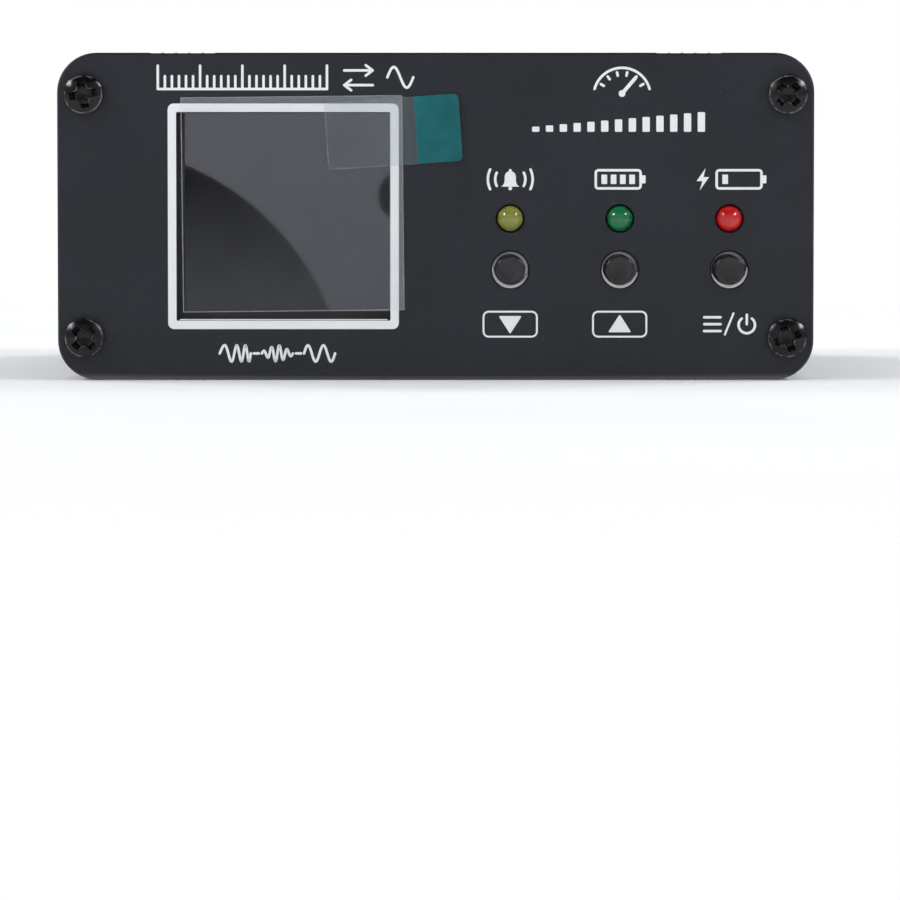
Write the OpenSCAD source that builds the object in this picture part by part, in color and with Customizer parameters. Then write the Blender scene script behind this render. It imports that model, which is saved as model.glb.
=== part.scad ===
// Pocket SWR and power meter in a split extruded case.
// Front plate faces -Y, the sockets face +Y, +Z is up, and the case rests on z = 0.

/* [Case] */
// Width of the case
case_w = 88; // [86:1:92]
// Height of the case
case_h = 38; // [37:0.5:40]
// Length of the extruded halves between the two plates
body_len = 100; // [96:1:110]
// Outer corner radius
corner_r = 4.6; // [4:0.2:5]
// Wall of the extrusion
wall = 1.4; // [1.2:0.1:1.5]
// Thickness of the front and rear plates
panel_t = 1.5; // [1.2:0.1:1.8]
// Chamfer round each plate's outer face
panel_chamfer = 0.2; // [0.1:0.05:0.4]
// How much smaller than the case a plate is on each side
panel_inset = 0.1; // [0:0.05:0.2]
// Depth of the shallow band along each side at half height
side_band_d = 0.4; // [0.2:0.1:0.5]
// Height of that band
side_band_h = 4.8; // [3:0.2:5]

/* [Plate screws] */
// Screw position from the middle, across
screw_x = 40.8; // [40:0.1:41.2]
// Screw position from the middle, up and down
screw_z = 14.1; // [13.6:0.1:14.3]
// Head diameter
head_d = 4.6; // [4.2:0.1:5]
// Head height
head_h = 1.7; // [1.4:0.1:2]
// Thread diameter
screw_d = 2.5; // [2.2:0.1:2.6]
// Thread length under the head
screw_len = 9; // [6:1:12]

/* [Display] */
// Window centre, across
window_x = -17.68; // [-18:0.1:-17]
// Window width
window_w = 24.8; // [24:0.1:25]
// Window height
window_h = 24.1; // [23:0.1:24.5]
// Glass width
glass_w = 25.5; // [25:0.1:26]
// Glass height
glass_h = 26.5; // [26:0.1:27]
// Left edge of the glass
glass_left = -29.2; // [-29.4:0.1:-28.8]
// Lower edge of the glass, from the middle
glass_low = -11.05; // [-11.4:0.05:-10.8]

/* [Lamps and buttons] */
// First lamp and button, across
column_x = 8.65; // [8:0.05:9]
// Distance from one column to the next
column_pitch = 12.72; // [12.4:0.02:13]
// Height of the lamps from the middle
lamp_z = -0.24; // [-1:0.02:1]
// Lamp diameter
lamp_d = 3; // [2.8:0.1:3.1]
// Height of the buttons from the middle
button_z = -6.2; // [-7:0.1:-6]
// Button stem diameter
button_d = 3.4; // [3.2:0.1:3.6]
// Hole for a button stem
button_hole_d = 4.2; // [4:0.1:4.4]

/* [Sockets] */
// Socket position from the middle, across
socket_x = 17.15; // [16.8:0.05:17.6]
// Socket height from the middle
socket_z = -6.3; // [-6.6:0.1:-6]
// Outside diameter of the thread
thread_d = 15.88; // [15.8:0.02:15.9]
// Diameter of the round flange
flange_d = 18.1; // [17.5:0.1:18.4]
// Flange thickness
flange_t = 2; // [1.6:0.1:2.4]
// How far a socket stands out of the rear plate
socket_reach = 12.8; // [12:0.1:13.5]
// Diameter of the shank through the rear plate
shank_d = 12; // [11:0.2:12.4]
// Bore of the centre contact
contact_bore_d = 3.96; // [3.9:0.02:4]

/* [USB port] */
// Port centre, across
usb_x = -34.1; // [-34.4:0.1:-33.6]
// Port height from the middle
usb_z = -8.8; // [-8.9:0.1:-8.6]
// Shell width
usb_w = 8.94; // [8.9:0.02:9]
// Shell height
usb_h = 3.2; // [3.16:0.02:3.26]

/* [Rocker switch] */
// Switch centre, across
rocker_x = 36.2; // [35.8:0.1:36.4]
// Switch height from the middle
rocker_z = 2.95; // [2.5:0.05:3.5]
// Bezel width
bezel_w = 10.4; // [10.4:0.1:10.6]
// Bezel height
bezel_h = 15; // [14.8:0.1:15.2]
// Half of the paddle's swing, in degrees
rocker_tilt = 14; // [13:0.5:14]

/* [Boards] */
// Thickness of the boards
board_t = 1.6; // [1.4:0.1:1.6]
// Top of the main board, from the middle
board_top = -10.4; // [-10.5:0.1:-10.4]

/* [Hidden] */

$fn = 48;
tiny = 0.01;
joint_gap = 0.1;
overall_len = head_h + 2 * panel_t + body_len + socket_reach;
front_y = head_h - overall_len / 2;
rear_y = front_y + 2 * panel_t + body_len;
front_in = front_y + panel_t;
rear_in = rear_y - panel_t;
mid_z = case_h / 2;
inner_x = case_w / 2 - wall;
inner_z = case_h / 2 - wall;

// Extrusion details
ledge_top = board_top - board_t - 0.1;
rail_gap = 0.1;
rail_h = 1.1;
rail_reach = 2;
boss_in = 38;
pilot_d = screw_d + 0.1;
groove_count = 5;
groove_pitch = 1.55;
groove_r = 0.85;
groove_lift = 0.5;
groove_x = 26.3;
lip_pad_h = 3.2;
lip_pad_w = 1.7;
lip_t = 0.8;
lip_h = 1.2;
lip_gap = 0.1;

// Stack behind the front plate, as distances back from its inner face
frame_depth = 3;
frame_back_t = 0.4;
glass_set = 0.4;
glass_t = 1.2;
display_board_t = 1.2;
display_board_x0 = -34.4;
display_board_x1 = -0.6;
display_board_z0 = -15.6;
display_board_z1 = 16.6;
header_h = 2.5;
front_board_set = frame_depth + display_board_t + header_h + 0.1;
front_board_y = front_in + front_board_set;
front_board_w = 75;
front_board_h = 33.4;
pin_w = 0.64;
pin_hole_r = 0.5;
pin_pitch = 2.54;
header_pins = 8;
display_header_x = -32.2;
board_header_x = 14;

columns = [for (i = [0 : 2]) column_x + i * column_pitch];
stem_out = 0.45;
switch_w = 6;
switch_base_h = 3.2;
switch_cover_t = 0.3;
lamp_tip_out = 1.0;
lamp_body_h = 5.3;
lamp_rim_d = 3.8;
lamp_rim_t = 1;
lamp_hole_d = lamp_d + 0.2;
lead_w = 0.5;
lead_gap = 2.54;

main_y0 = front_board_y + board_t + 0.1;
main_y1 = rear_in - 0.4;
notch_y = 9.6;
notch_w = 20;
shank_back = 9;
controller_x = -4;
controller_y = front_board_y + 20;
charger_x = -34.5;
charger_y = rear_in - 16;
buzzer_x = 28;
buzzer_y = front_board_y + 24;

rocker_open_w = 6.8;
rocker_open_h = 10.9;
bezel_reach = 2;
bezel_edge = 0.6;
housing_w = 8.8;
housing_h = 13.2;
housing_back = 12;
pivot_set = 2.0;
pivot_r = 0.9;
pivot_gap = 0.05;
paddle_w = 6.5;
corner_dy = 5.0;
corner_dz = 4.2;
lever_set = 8.9;
lever_tilt = 6;
lever_t = 0.4;

contact_d = 4.8;
contact_gap_d = 5.25;
insulator_d = 10.9;

small_hole_x = 34.3;
small_hole_z = -9.8;
small_hole_d = 1.2;

// ---------- shared shapes ----------

module rounded_rect(w, h, r) {
    square([w, h - 2 * r], center = true);
    square([w - 2 * r, h], center = true);
    for (sx = [-1, 1], sz = [-1, 1])
        translate([sx * (w / 2 - r), sz * (h / 2 - r)]) circle(r = r);
}

module stadium(w, h) {
    square([w - h, h], center = true);
    for (s = [-1, 1]) translate([s * (w - h) / 2, 0]) circle(r = h / 2);
}

// Local +Z points out of the front plate, local Y is up
module on_front(x, z, out = 0) {
    translate([x, front_y - out, mid_z + z]) rotate([90, 0, 0]) children();
}

// Local +Z points out of the rear plate, local Y is down
module on_rear(x, z, out = 0) {
    translate([x, rear_y + out, mid_z + z]) rotate([-90, 0, 0]) children();
}

module at_corners() {
    for (sx = [-1, 1], sz = [-1, 1]) translate([sx * screw_x, sz * screw_z, 0]) children();
}

// A straight round rod between two points
module rod(a, b, r) {
    v = b - a;
    reach = norm(v);
    translate(a) rotate([0, acos(v.z / reach), atan2(v.y, v.x)]) cylinder(h = reach, r = r, $fn = 24);
}

function unit(v) = v / norm(v);

// A point between b and c on the smooth curve that runs through a, b, c and d
function curve_point(a, b, c, d, t) =
    0.5 * (2 * b + (c - a) * t + (2 * a - 5 * b + 4 * c - d) * t * t + (3 * b - a - 3 * c + d) * t * t * t);

// The hand-set points p with steps - 1 more between each two, on a smooth curve through them all
function smooth_line(p, steps) = concat(
    [for (i = [0 : len(p) - 2], k = [0 : steps - 1])
        curve_point(p[max(i - 1, 0)], p[i], p[i + 1], p[min(i + 2, len(p) - 1)], k / steps)],
    [p[len(p) - 1]]
);

// A round wire along a smooth line; up is a direction that the line never runs along
module wire(points, r, up, steps = 3, sides = 8) {
    line = smooth_line(points, steps);
    last = len(line) - 1;
    rings = [for (i = [0 : last])
        let (t = unit(line[min(i + 1, last)] - line[max(i - 1, 0)]), u = unit(cross(t, up)), v = cross(u, t))
            for (k = [0 : sides - 1]) line[i] + r * (cos(k * 360 / sides) * u + sin(k * 360 / sides) * v)];
    walls = [for (i = [0 : last - 1], k = [0 : sides - 1])
        let (a = i * sides + k, b = i * sides + (k + 1) % sides) [a, b, b + sides, a + sides]];
    near_cap = [for (k = [sides - 1 : -1 : 0]) k];
    far_cap = [for (k = [0 : sides - 1]) last * sides + k];
    polyhedron(points = rings, faces = concat(walls, [near_cap, far_cap]));
}

// ---------- case ----------

module half_profile() {
    difference() {
        union() {
            difference() {
                rounded_rect(case_w, case_h, corner_r);
                rounded_rect(2 * inner_x, 2 * inner_z, corner_r - wall);
            }
            intersection() {
                rounded_rect(case_w, case_h, corner_r);
                for (s = [-1, 1])
                    translate([s * (boss_in + case_w / 2) / 2, (ledge_top - case_h / 2) / 2])
                        square([case_w / 2 - boss_in, case_h / 2 + ledge_top], center = true);
            }
            for (s = [-1, 1]) {
                translate([s * (inner_x - rail_reach / 2 + tiny), board_top + rail_gap + rail_h / 2])
                    square([rail_reach + 2 * tiny, rail_h], center = true);
                translate([s * (inner_x - lip_pad_w / 2 + tiny), -lip_pad_h / 2])
                    square([lip_pad_w + 2 * tiny, lip_pad_h], center = true);
            }
        }
        translate([-case_w, 0]) square([2 * case_w, case_h]);
        for (s = [-1, 1]) {
            translate([s * screw_x, -screw_z]) circle(d = pilot_d);
            translate([s * (boss_in + screw_x) / 2, -screw_z])
                square([screw_x - boss_in + 2 * tiny, 0.9], center = true);
            translate([s * (case_w / 2), 0])
                square([2 * side_band_d, side_band_h], center = true);
            for (i = [0 : groove_count - 1])
                translate([s * (groove_x + i * groove_pitch), -case_h / 2 - groove_lift])
                    circle(r = groove_r);
        }
        translate([-inner_x + lip_pad_w / 2, 0])
            square([lip_t + 2 * lip_gap, 2 * (lip_h + lip_gap)], center = true);
    }
    translate([inner_x - lip_pad_w / 2, lip_h / 2 - 0.2])
        square([lip_t, lip_h + 0.4], center = true);
}

module case_half() {
    rotate([90, 0, 0]) linear_extrude(body_len) half_profile();
}

module case_upper() {
    color([0.11, 0.115, 0.13]) translate([0, rear_in, mid_z]) rotate([0, 180, 0]) case_half();
}

module case_lower() {
    color([0.11, 0.115, 0.13]) translate([0, rear_in, mid_z]) case_half();
}

// A plate with its outer face at z = 0 and a chamfer round that face
module chamfered_plate() {
    w = case_w - 2 * panel_inset;
    h = case_h - 2 * panel_inset;
    r = corner_r - panel_inset;
    c = panel_chamfer;
    difference() {
        translate([0, 0, -panel_t]) linear_extrude(panel_t) rounded_rect(w, h, r);
        for (s = [-1, 1]) {
            translate([0, s * h / 2, 0]) rotate([45, 0, 0])
                cube([w - 2 * r, c * sqrt(2), c * sqrt(2)], center = true);
            translate([s * w / 2, 0, 0]) rotate([0, 45, 0])
                cube([c * sqrt(2), h - 2 * r, c * sqrt(2)], center = true);
        }
        for (sx = [-1, 1], sz = [-1, 1])
            translate([sx * (w / 2 - r), sz * (h / 2 - r), 0]) intersection() {
                translate([sx > 0 ? 0 : -2 * r, sz > 0 ? 0 : -2 * r, -1]) cube([2 * r, 2 * r, 2]);
                rotate_extrude() polygon([[r - c, 0], [r + c, -2 * c], [r + c, c], [r - c, c]]);
            }
    }
}

// A hole through a plate with a fine chamfer at its outer edge
module plate_hole(d, c = 0.12) {
    translate([0, 0, -panel_t - 1]) cylinder(h = panel_t + 2, d = d);
    translate([0, 0, -c]) cylinder(h = 2 * c, d1 = d, d2 = d + 4 * c);
}

module front_plate() {
    color([0.16, 0.165, 0.185]) on_front(0, 0) difference() {
        chamfered_plate();
        at_corners() plate_hole(screw_d + 0.5, 0.05);
        translate([window_x, 0, -panel_t - 1])
            linear_extrude(panel_t + 2) rounded_rect(window_w, window_h, 0.3);
        for (x = columns) {
            translate([x, lamp_z, 0]) plate_hole(lamp_hole_d);
            translate([x, button_z, 0]) plate_hole(button_hole_d, 0.2);
        }
    }
}

module rear_plate() {
    color([0.13, 0.135, 0.16]) on_rear(0, 0) difference() {
        chamfered_plate();
        at_corners() plate_hole(screw_d + 0.5, 0.05);
        for (s = [-1, 1]) translate([s * socket_x, -socket_z, 0]) plate_hole(shank_d + 0.1, 0.05);
        translate([rocker_x, -rocker_z, -panel_t - 1])
            linear_extrude(panel_t + 2) square([housing_w + 0.1, housing_h + 0.1], center = true);
        translate([usb_x, -usb_z - 0.15, -panel_t - 1])
            linear_extrude(panel_t + 2) stadium(usb_w + 0.46, usb_h + 0.6);
        translate([small_hole_x, -small_hole_z, 0]) plate_hole(small_hole_d, 0.3);
    }
}

// Pan head with a cross recess, its underside at z = 0
module panel_screw(turn) {
    dome_rise = 0.8;
    dome_r = (pow(head_d / 2, 2) + dome_rise * dome_rise) / (2 * dome_rise);
    difference() {
        intersection() {
            cylinder(h = head_h, d = head_d);
            translate([0, 0, head_h - dome_r + 0.05]) sphere(r = dome_r);
        }
        for (a = [0, 90]) rotate([0, 0, turn + a])
            translate([0, 0, head_h]) cube([2.7, 0.75, 2.2], center = true);
    }
    translate([0, 0, -screw_len]) cylinder(h = screw_len + 0.1, d = screw_d);
}

// Turns run in reading order as seen on the front: lower left, upper left, lower right, upper right
module front_screws() {
    turns = [[45, 10], [20, 45]];
    color([0.06, 0.06, 0.065]) for (i = [0, 1], j = [0, 1])
        on_front((2 * i - 1) * screw_x, (2 * j - 1) * screw_z) panel_screw(turns[i][j]);
}

module rear_screws() {
    turns = [[45, 5], [20, 30]];
    color([0.06, 0.06, 0.065]) for (i = [0, 1], j = [0, 1])
        on_rear((2 * i - 1) * screw_x, (2 * j - 1) * screw_z) panel_screw(turns[i][j]);
}

// ---------- display ----------

frame_x0 = glass_left - 1.2;
frame_w = glass_w + 2.4;
frame_z0 = glass_low - 3;
frame_h = 30.6;

module behind_front(x0, x1, z0, z1, y0, y1) {
    translate([x0, front_in + y0, mid_z + z0]) cube([x1 - x0, y1 - y0, z1 - z0]);
}

module display_frame() {
    color([0.08, 0.08, 0.09]) difference() {
        behind_front(frame_x0, frame_x0 + frame_w, frame_z0, frame_z0 + frame_h, 0.05, frame_depth);
        behind_front(glass_left - 0.05, glass_left + glass_w + 0.05, glass_low - 0.05,
            glass_low + glass_h + 0.05, -1, frame_depth - frame_back_t);
    }
}

module display_glass() {
    color([0.12, 0.13, 0.16]) behind_front(glass_left, glass_left + glass_w, glass_low,
        glass_low + glass_h, glass_set, glass_set + glass_t);
}

module display_backlight() {
    color([0.85, 0.86, 0.84]) behind_front(glass_left, glass_left + glass_w, glass_low,
        glass_low + glass_h, glass_set + glass_t, frame_depth - frame_back_t);
}

function header_z(i) = (i - (header_pins - 1) / 2) * pin_pitch;

module display_board() {
    color([0.05, 0.16, 0.32]) difference() {
        behind_front(display_board_x0, display_board_x1, display_board_z0, display_board_z1,
            frame_depth, frame_depth + display_board_t);
        for (i = [0 : header_pins - 1])
            on_front(display_header_x, header_z(i), -panel_t - frame_depth - display_board_t - 1)
                cylinder(h = display_board_t + 2, r = pin_hole_r);
    }
}

module display_header() {
    header_y = frame_depth + display_board_t;
    color([0.1, 0.1, 0.1])
        behind_front(display_header_x - 1.25, display_header_x + 1.25,
            header_z(0) - pin_pitch / 2, header_z(header_pins - 1) + pin_pitch / 2,
            header_y, header_y + header_h);
    color([0.85, 0.7, 0.35]) for (i = [0 : header_pins - 1])
        behind_front(display_header_x - pin_w / 2, display_header_x + pin_w / 2,
            header_z(i) - pin_w / 2, header_z(i) + pin_w / 2,
            frame_depth - 0.8, front_board_set + board_t + 0.8);
}

film_t = 0.1;
film_x = -16.6;
film_z = 1.45;
film_w = 25.7;
film_h = 24.9;
film_turn = 0.6;
tab_x = -4.9;
tab_z = 9.8;
tab_w = 15.6;
tab_h = 7.8;
tab_turn = 4;

module protective_film() {
    color([0.8, 0.84, 0.88, 0.3]) on_front(film_x, film_z, 0.02) rotate([0, 0, film_turn])
        linear_extrude(film_t) square([film_w, film_h], center = true);
}

module pull_tab() {
    color([0.1, 0.5, 0.5]) on_front(tab_x, tab_z, film_t + 0.04) rotate([0, 0, tab_turn])
        linear_extrude(film_t) rounded_rect(tab_w, tab_h, 0.6);
}

// ---------- lamps and buttons ----------

// A 3 mm lamp whose tip stands out of the plate
module lamp(x) {
    dome_r = lamp_d / 2;
    on_front(x, lamp_z, lamp_tip_out) {
        translate([0, 0, -dome_r]) sphere(r = dome_r);
        translate([0, 0, -lamp_body_h]) cylinder(h = lamp_body_h - dome_r, d = lamp_d);
        translate([0, 0, -lamp_body_h]) cylinder(h = lamp_rim_t, d = lamp_rim_d);
    }
}

module lamp_alert() {
    color([0.56, 0.57, 0.27]) lamp(columns[0]);
}

module lamp_full() {
    color([0.1, 0.5, 0.3]) lamp(columns[1]);
}

module lamp_charge() {
    color([0.85, 0.1, 0.1]) lamp(columns[2]);
}

module lamp_leads() {
    lamp_base = lamp_body_h - lamp_tip_out - panel_t;
    color([0.75, 0.75, 0.72]) for (x = columns, s = [-1, 1])
        behind_front(x + s * lead_gap / 2 - lead_w / 2, x + s * lead_gap / 2 + lead_w / 2,
            lamp_z - lead_w / 2, lamp_z + lead_w / 2, lamp_base, front_board_set + board_t + 0.6);
}

switch_top = front_board_set - switch_base_h;
switch_floor = 0.6;
foot_r = 2.1;
foot_t = 0.5;

// Stem with a soft front edge, resting on nothing but its own spring disc
module button(x) {
    stem_back = panel_t + switch_top + 0.9;
    soft = 0.35;
    on_front(x, button_z, stem_out) rotate_extrude() difference() {
        union() {
            translate([0, -stem_back - stem_out]) square([button_d / 2 - soft, stem_back + stem_out]);
            translate([0, -stem_back - stem_out]) square([button_d / 2, stem_back + stem_out - soft]);
            translate([button_d / 2 - soft, -soft]) circle(r = soft);
            translate([0, -stem_back - stem_out]) square([foot_r, foot_t]);
        }
        translate([-3, -stem_back - 5]) square([3, stem_back + 10]);
    }
}

module button_down() {
    color([0.07, 0.07, 0.075]) button(columns[0]);
}

module button_up() {
    color([0.07, 0.07, 0.075]) button(columns[1]);
}

module button_mode() {
    color([0.07, 0.07, 0.075]) button(columns[2]);
}

// Moulded box of one switch, open at the front for the stem's foot
module switch_base(x) {
    z = button_z;
    color([0.12, 0.12, 0.12]) difference() {
        behind_front(x - switch_w / 2, x + switch_w / 2, z - switch_w / 2, z + switch_w / 2,
            switch_top + switch_cover_t, front_board_set);
        on_front(x, z, -panel_t - front_board_set + switch_floor)
            cylinder(h = switch_base_h, r = foot_r + 0.2);
    }
}

module switch_base_down() {
    switch_base(columns[0]);
}

module switch_base_up() {
    switch_base(columns[1]);
}

module switch_base_mode() {
    switch_base(columns[2]);
}

module switch_covers() {
    color([0.78, 0.78, 0.76]) for (x = columns) difference() {
        behind_front(x - switch_w / 2, x + switch_w / 2, button_z - switch_w / 2,
            button_z + switch_w / 2, switch_top, switch_top + switch_cover_t);
        on_front(x, button_z, -panel_t - front_board_set) cylinder(h = 9, d = button_d + 0.2);
    }
}

// Domed spring discs on the floor of the switch bases
module snap_discs() {
    disc_rise = 0.5;
    disc_r = 1.9;
    ball_r = (disc_r * disc_r + disc_rise * disc_rise) / (2 * disc_rise);
    color([0.8, 0.8, 0.78]) for (x = columns)
        on_front(x, button_z, -panel_t - front_board_set + switch_floor) difference() {
            intersection() {
                cylinder(h = disc_rise, r = disc_r);
                translate([0, 0, disc_rise - ball_r]) sphere(r = ball_r);
            }
            translate([0, 0, disc_rise - ball_r - 0.12]) sphere(r = ball_r);
        }
}

// ---------- boards ----------

module front_board() {
    color([0.06, 0.3, 0.16]) difference() {
        behind_front(-front_board_w / 2, front_board_w / 2, -front_board_h / 2, front_board_h / 2,
            front_board_set, front_board_set + board_t);
        for (i = [0 : header_pins - 1]) {
            on_front(display_header_x, header_z(i), -panel_t - front_board_set - board_t - 1)
                cylinder(h = board_t + 2, r = pin_hole_r);
            on_front(board_header_x + header_z(i), board_top + 1.25,
                -panel_t - front_board_set - board_t - 1) cylinder(h = board_t + 2, r = pin_hole_r);
        }
        for (x = columns, s = [-1, 1])
            on_front(x + s * lead_gap / 2, lamp_z, -panel_t - front_board_set - board_t - 1)
                cylinder(h = board_t + 2, r = pin_hole_r);
    }
}

// Right-angle header: each pin goes through the front board and down through the main board
module board_header() {
    strip_y = main_y0 + 0.6;
    pin_z = board_top + 1.25;
    color([0.1, 0.1, 0.1]) translate([board_header_x, strip_y + 1.25, mid_z + board_top + 1.25])
        cube([header_pins * pin_pitch, 2.5, 2.5], center = true);
    color([0.85, 0.7, 0.35]) for (i = [0 : header_pins - 1])
        translate([board_header_x + header_z(i) - pin_w / 2, 0, mid_z]) {
            translate([0, front_board_y + 0.1, pin_z - pin_w / 2])
                cube([pin_w, strip_y + 4.2 - front_board_y - 0.1, pin_w]);
            translate([0, strip_y + 4.2 - pin_w, board_top - board_t - 0.8])
                cube([pin_w, pin_w, pin_z - board_top + board_t + 0.8]);
        }
}

module main_board() {
    strip_y = main_y0 + 0.6;
    color([0.06, 0.3, 0.16]) difference() {
        translate([-inner_x + 0.3, main_y0, mid_z + board_top - board_t])
            cube([2 * inner_x - 0.6, main_y1 - main_y0, board_t]);
        for (s = [-1, 1])
            translate([s * socket_x - notch_w / 2, rear_in - notch_y, mid_z + board_top - board_t - 1])
                cube([notch_w, notch_y + 1, board_t + 2]);
        for (i = [0 : header_pins - 1])
            translate([board_header_x + header_z(i), strip_y + 4.2 - pin_w / 2,
                mid_z + board_top - board_t - 1]) cylinder(h = board_t + 2, r = pin_hole_r);
    }
}

// Moulded chip with gull-wing feet on two or four sides
module chip(x, y, w, d, h, feet_x, feet_y, pitch) {
    translate([x, y, mid_z + board_top]) {
        translate([-w / 2, -d / 2, 0.12]) cube([w, d, h]);
        for (s = [-1, 1]) {
            for (i = [0 : feet_x - 1])
                translate([(i - (feet_x - 1) / 2) * pitch, s * (d / 2 + 0.5), 0.35])
                    cube([0.25, 1.02, 0.7], center = true);
            for (i = [0 : feet_y - 1])
                translate([s * (w / 2 + 0.5), (i - (feet_y - 1) / 2) * pitch, 0.35])
                    cube([1.02, 0.25, 0.7], center = true);
        }
    }
}

module microcontroller() {
    color([0.08, 0.08, 0.08]) chip(controller_x, controller_y, 7, 7, 1.4, 12, 12, 0.5);
}

module charger_chip() {
    color([0.08, 0.08, 0.08]) chip(charger_x, charger_y, 3.9, 4.9, 1.4, 0, 4, 1.27);
}

// Two glass diodes lying on the board with their wire ends bent down
module detector_diodes() {
    for (s = [-1, 1]) translate([s * 6.2, sample_y - 10, mid_z + board_top]) {
        color([0.8, 0.45, 0.25]) translate([-1.9, 0, 1.1]) rotate([0, 90, 0]) cylinder(h = 3.8, r = 0.9);
        color([0.75, 0.75, 0.72]) for (e = [-1, 1]) {
            rod([e * 1.9, 0, 1.1], [e * 3.4, 0, 1.1], 0.25);
            rod([e * 3.4, 0, 1.3], [e * 3.4, 0, 0], 0.25);
        }
    }
}

// ---------- directional coupler ----------

core_r = 4.75;
core_hole_r = 2.4;
core_t = 3.2;
line_z = socket_z + 1.5;
line_y = rear_in - 15;
line_r = 0.6;
sample_y = line_y - 11;
winding_turns = 12;
winding_r = 0.25;

module toroid_core(x, y) {
    color([0.22, 0.2, 0.2]) translate([x, y, mid_z + line_z]) rotate([0, 90, 0]) difference() {
        cylinder(h = core_t, r = core_r, center = true);
        cylinder(h = core_t + 2, r = core_hole_r, center = true);
    }
}

// Turns of wire standing clear of the core by a hair
module toroid_winding(x, y) {
    clear = 0.04;
    band = core_r - core_hole_r;
    color([0.72, 0.35, 0.15]) translate([x, y, mid_z + line_z]) rotate([0, 90, 0])
        for (i = [0 : winding_turns - 1]) rotate([0, 0, i * 360 / winding_turns])
            translate([(core_r + core_hole_r) / 2, 0, 0]) rotate([90, 0, 0]) difference() {
                cube([band + 2 * clear + 4 * winding_r, core_t + 2 * clear + 4 * winding_r,
                    2 * winding_r], center = true);
                cube([band + 2 * clear, core_t + 2 * clear, 1], center = true);
            }
}

module toroid_current() {
    toroid_core(-6, line_y);
}

module toroid_voltage() {
    toroid_core(6, sample_y);
}

module winding_current() {
    toroid_winding(-6, line_y);
}

module winding_voltage() {
    toroid_winding(6, sample_y);
}

pin_tail_y = rear_in - shank_back - 3;

// The through line, from one socket's centre pin to the other's
module coupler_line() {
    z = mid_z + line_z;
    za = mid_z + socket_z;
    color([0.8, 0.45, 0.2]) wire([
        [-socket_x, pin_tail_y - joint_gap, za], [-socket_x, pin_tail_y - 1.2, za],
        [-socket_x + 1.4, line_y + 0.6, z], [-socket_x + 5, line_y, z], [0, line_y, z],
        [socket_x - 5, line_y, z], [socket_x - 1.4, line_y + 0.6, z],
        [socket_x, pin_tail_y - 1.2, za], [socket_x, pin_tail_y - joint_gap, za]
    ], line_r, [0, 0, 1]);
}

// One straight turn through the second core, soldered to the board at both ends
module sample_line() {
    z = mid_z + line_z;
    zb = mid_z + board_top;
    color([0.8, 0.45, 0.2]) {
        rod([1, sample_y, z], [11, sample_y, z], line_r);
        for (x = [1 + line_r, 11 - line_r]) rod([x, sample_y, z], [x, sample_y, zb], line_r);
    }
}

// ---------- power ----------

module buzzer() {
    color([0.09, 0.09, 0.09]) translate([buzzer_x, buzzer_y, mid_z + board_top]) difference() {
        cylinder(h = 8.5, r = 6);
        translate([0, 0, 6]) cylinder(h = 4, r = 1);
    }
}

cell_w = 50;
cell_d = 34;
cell_h = 8;
cell_y = front_board_y + 22;
tape_t = 0.7;

module battery_cell() {
    color([0.7, 0.72, 0.74])
        translate([-cell_w / 2, cell_y - cell_d / 2, mid_z + inner_z - tape_t - cell_h]) {
            cube([cell_w, cell_d, cell_h]);
        }
}

module battery_tape() {
    color([0.9, 0.9, 0.88])
        translate([-cell_w / 2 + 3, cell_y - cell_d / 2 + 3, mid_z + inner_z - tape_t])
            cube([cell_w - 6, cell_d - 6, tape_t]);
}

plug_x = -29.5;
plug_y = cell_y + 8;

module battery_socket() {
    color([0.92, 0.9, 0.84]) translate([plug_x, plug_y, mid_z + board_top + 3]) difference() {
        cube([7.8, 4.5, 6], center = true);
        translate([0, 0, 1]) cube([6.4, 3.3, 6.2], center = true);
    }
}

module battery_plug() {
    color([0.95, 0.94, 0.9]) translate([plug_x, plug_y, mid_z + board_top + 4.6])
        cube([6.2, 3.1, 6.8], center = true);
}

// Two leads that turn down from the end of the cell, the red one inside the black one
module battery_leads() {
    top = mid_z + inner_z - tape_t - cell_h / 2;
    plug_top = mid_z + board_top + 8;
    for (s = [-1, 1]) color(s > 0 ? [0.75, 0.08, 0.08] : [0.08, 0.08, 0.08]) wire([
        [-cell_w / 2 - joint_gap, plug_y, top - s],
        [(plug_x + s - cell_w / 2) / 2, plug_y, top - s - 0.3],
        [plug_x + s, plug_y, top - s - 2.5],
        [plug_x + s, plug_y, (top + plug_top) / 2],
        [plug_x + s, plug_y, plug_top]
    ], 0.55, [0, 1, 0]);
}

// ---------- USB port ----------

usb_len = 7.4;
usb_wall = 0.3;

module usb_shell() {
    color([0.82, 0.83, 0.84]) on_rear(usb_x, usb_z, -0.1) translate([0, 0, -usb_len])
        difference() {
            linear_extrude(usb_len) stadium(usb_w, usb_h);
            translate([0, 0, 1]) linear_extrude(usb_len) stadium(usb_w - 2 * usb_wall, usb_h - 2 * usb_wall);
        }
}

module usb_tongue() {
    color([0.06, 0.06, 0.07]) on_rear(usb_x, usb_z, -1.2) translate([0, 0, -usb_len + 2.1]) {
        linear_extrude(usb_len - 2.1) square([6.7, 0.7], center = true);
        linear_extrude(0.9) stadium(usb_w - 2 * usb_wall - 0.04, usb_h - 2 * usb_wall - 0.04);
    }
}

// ---------- rocker switch ----------

pivot_y = rear_y - pivot_set;
pivot_z = mid_z + rocker_z;

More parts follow.
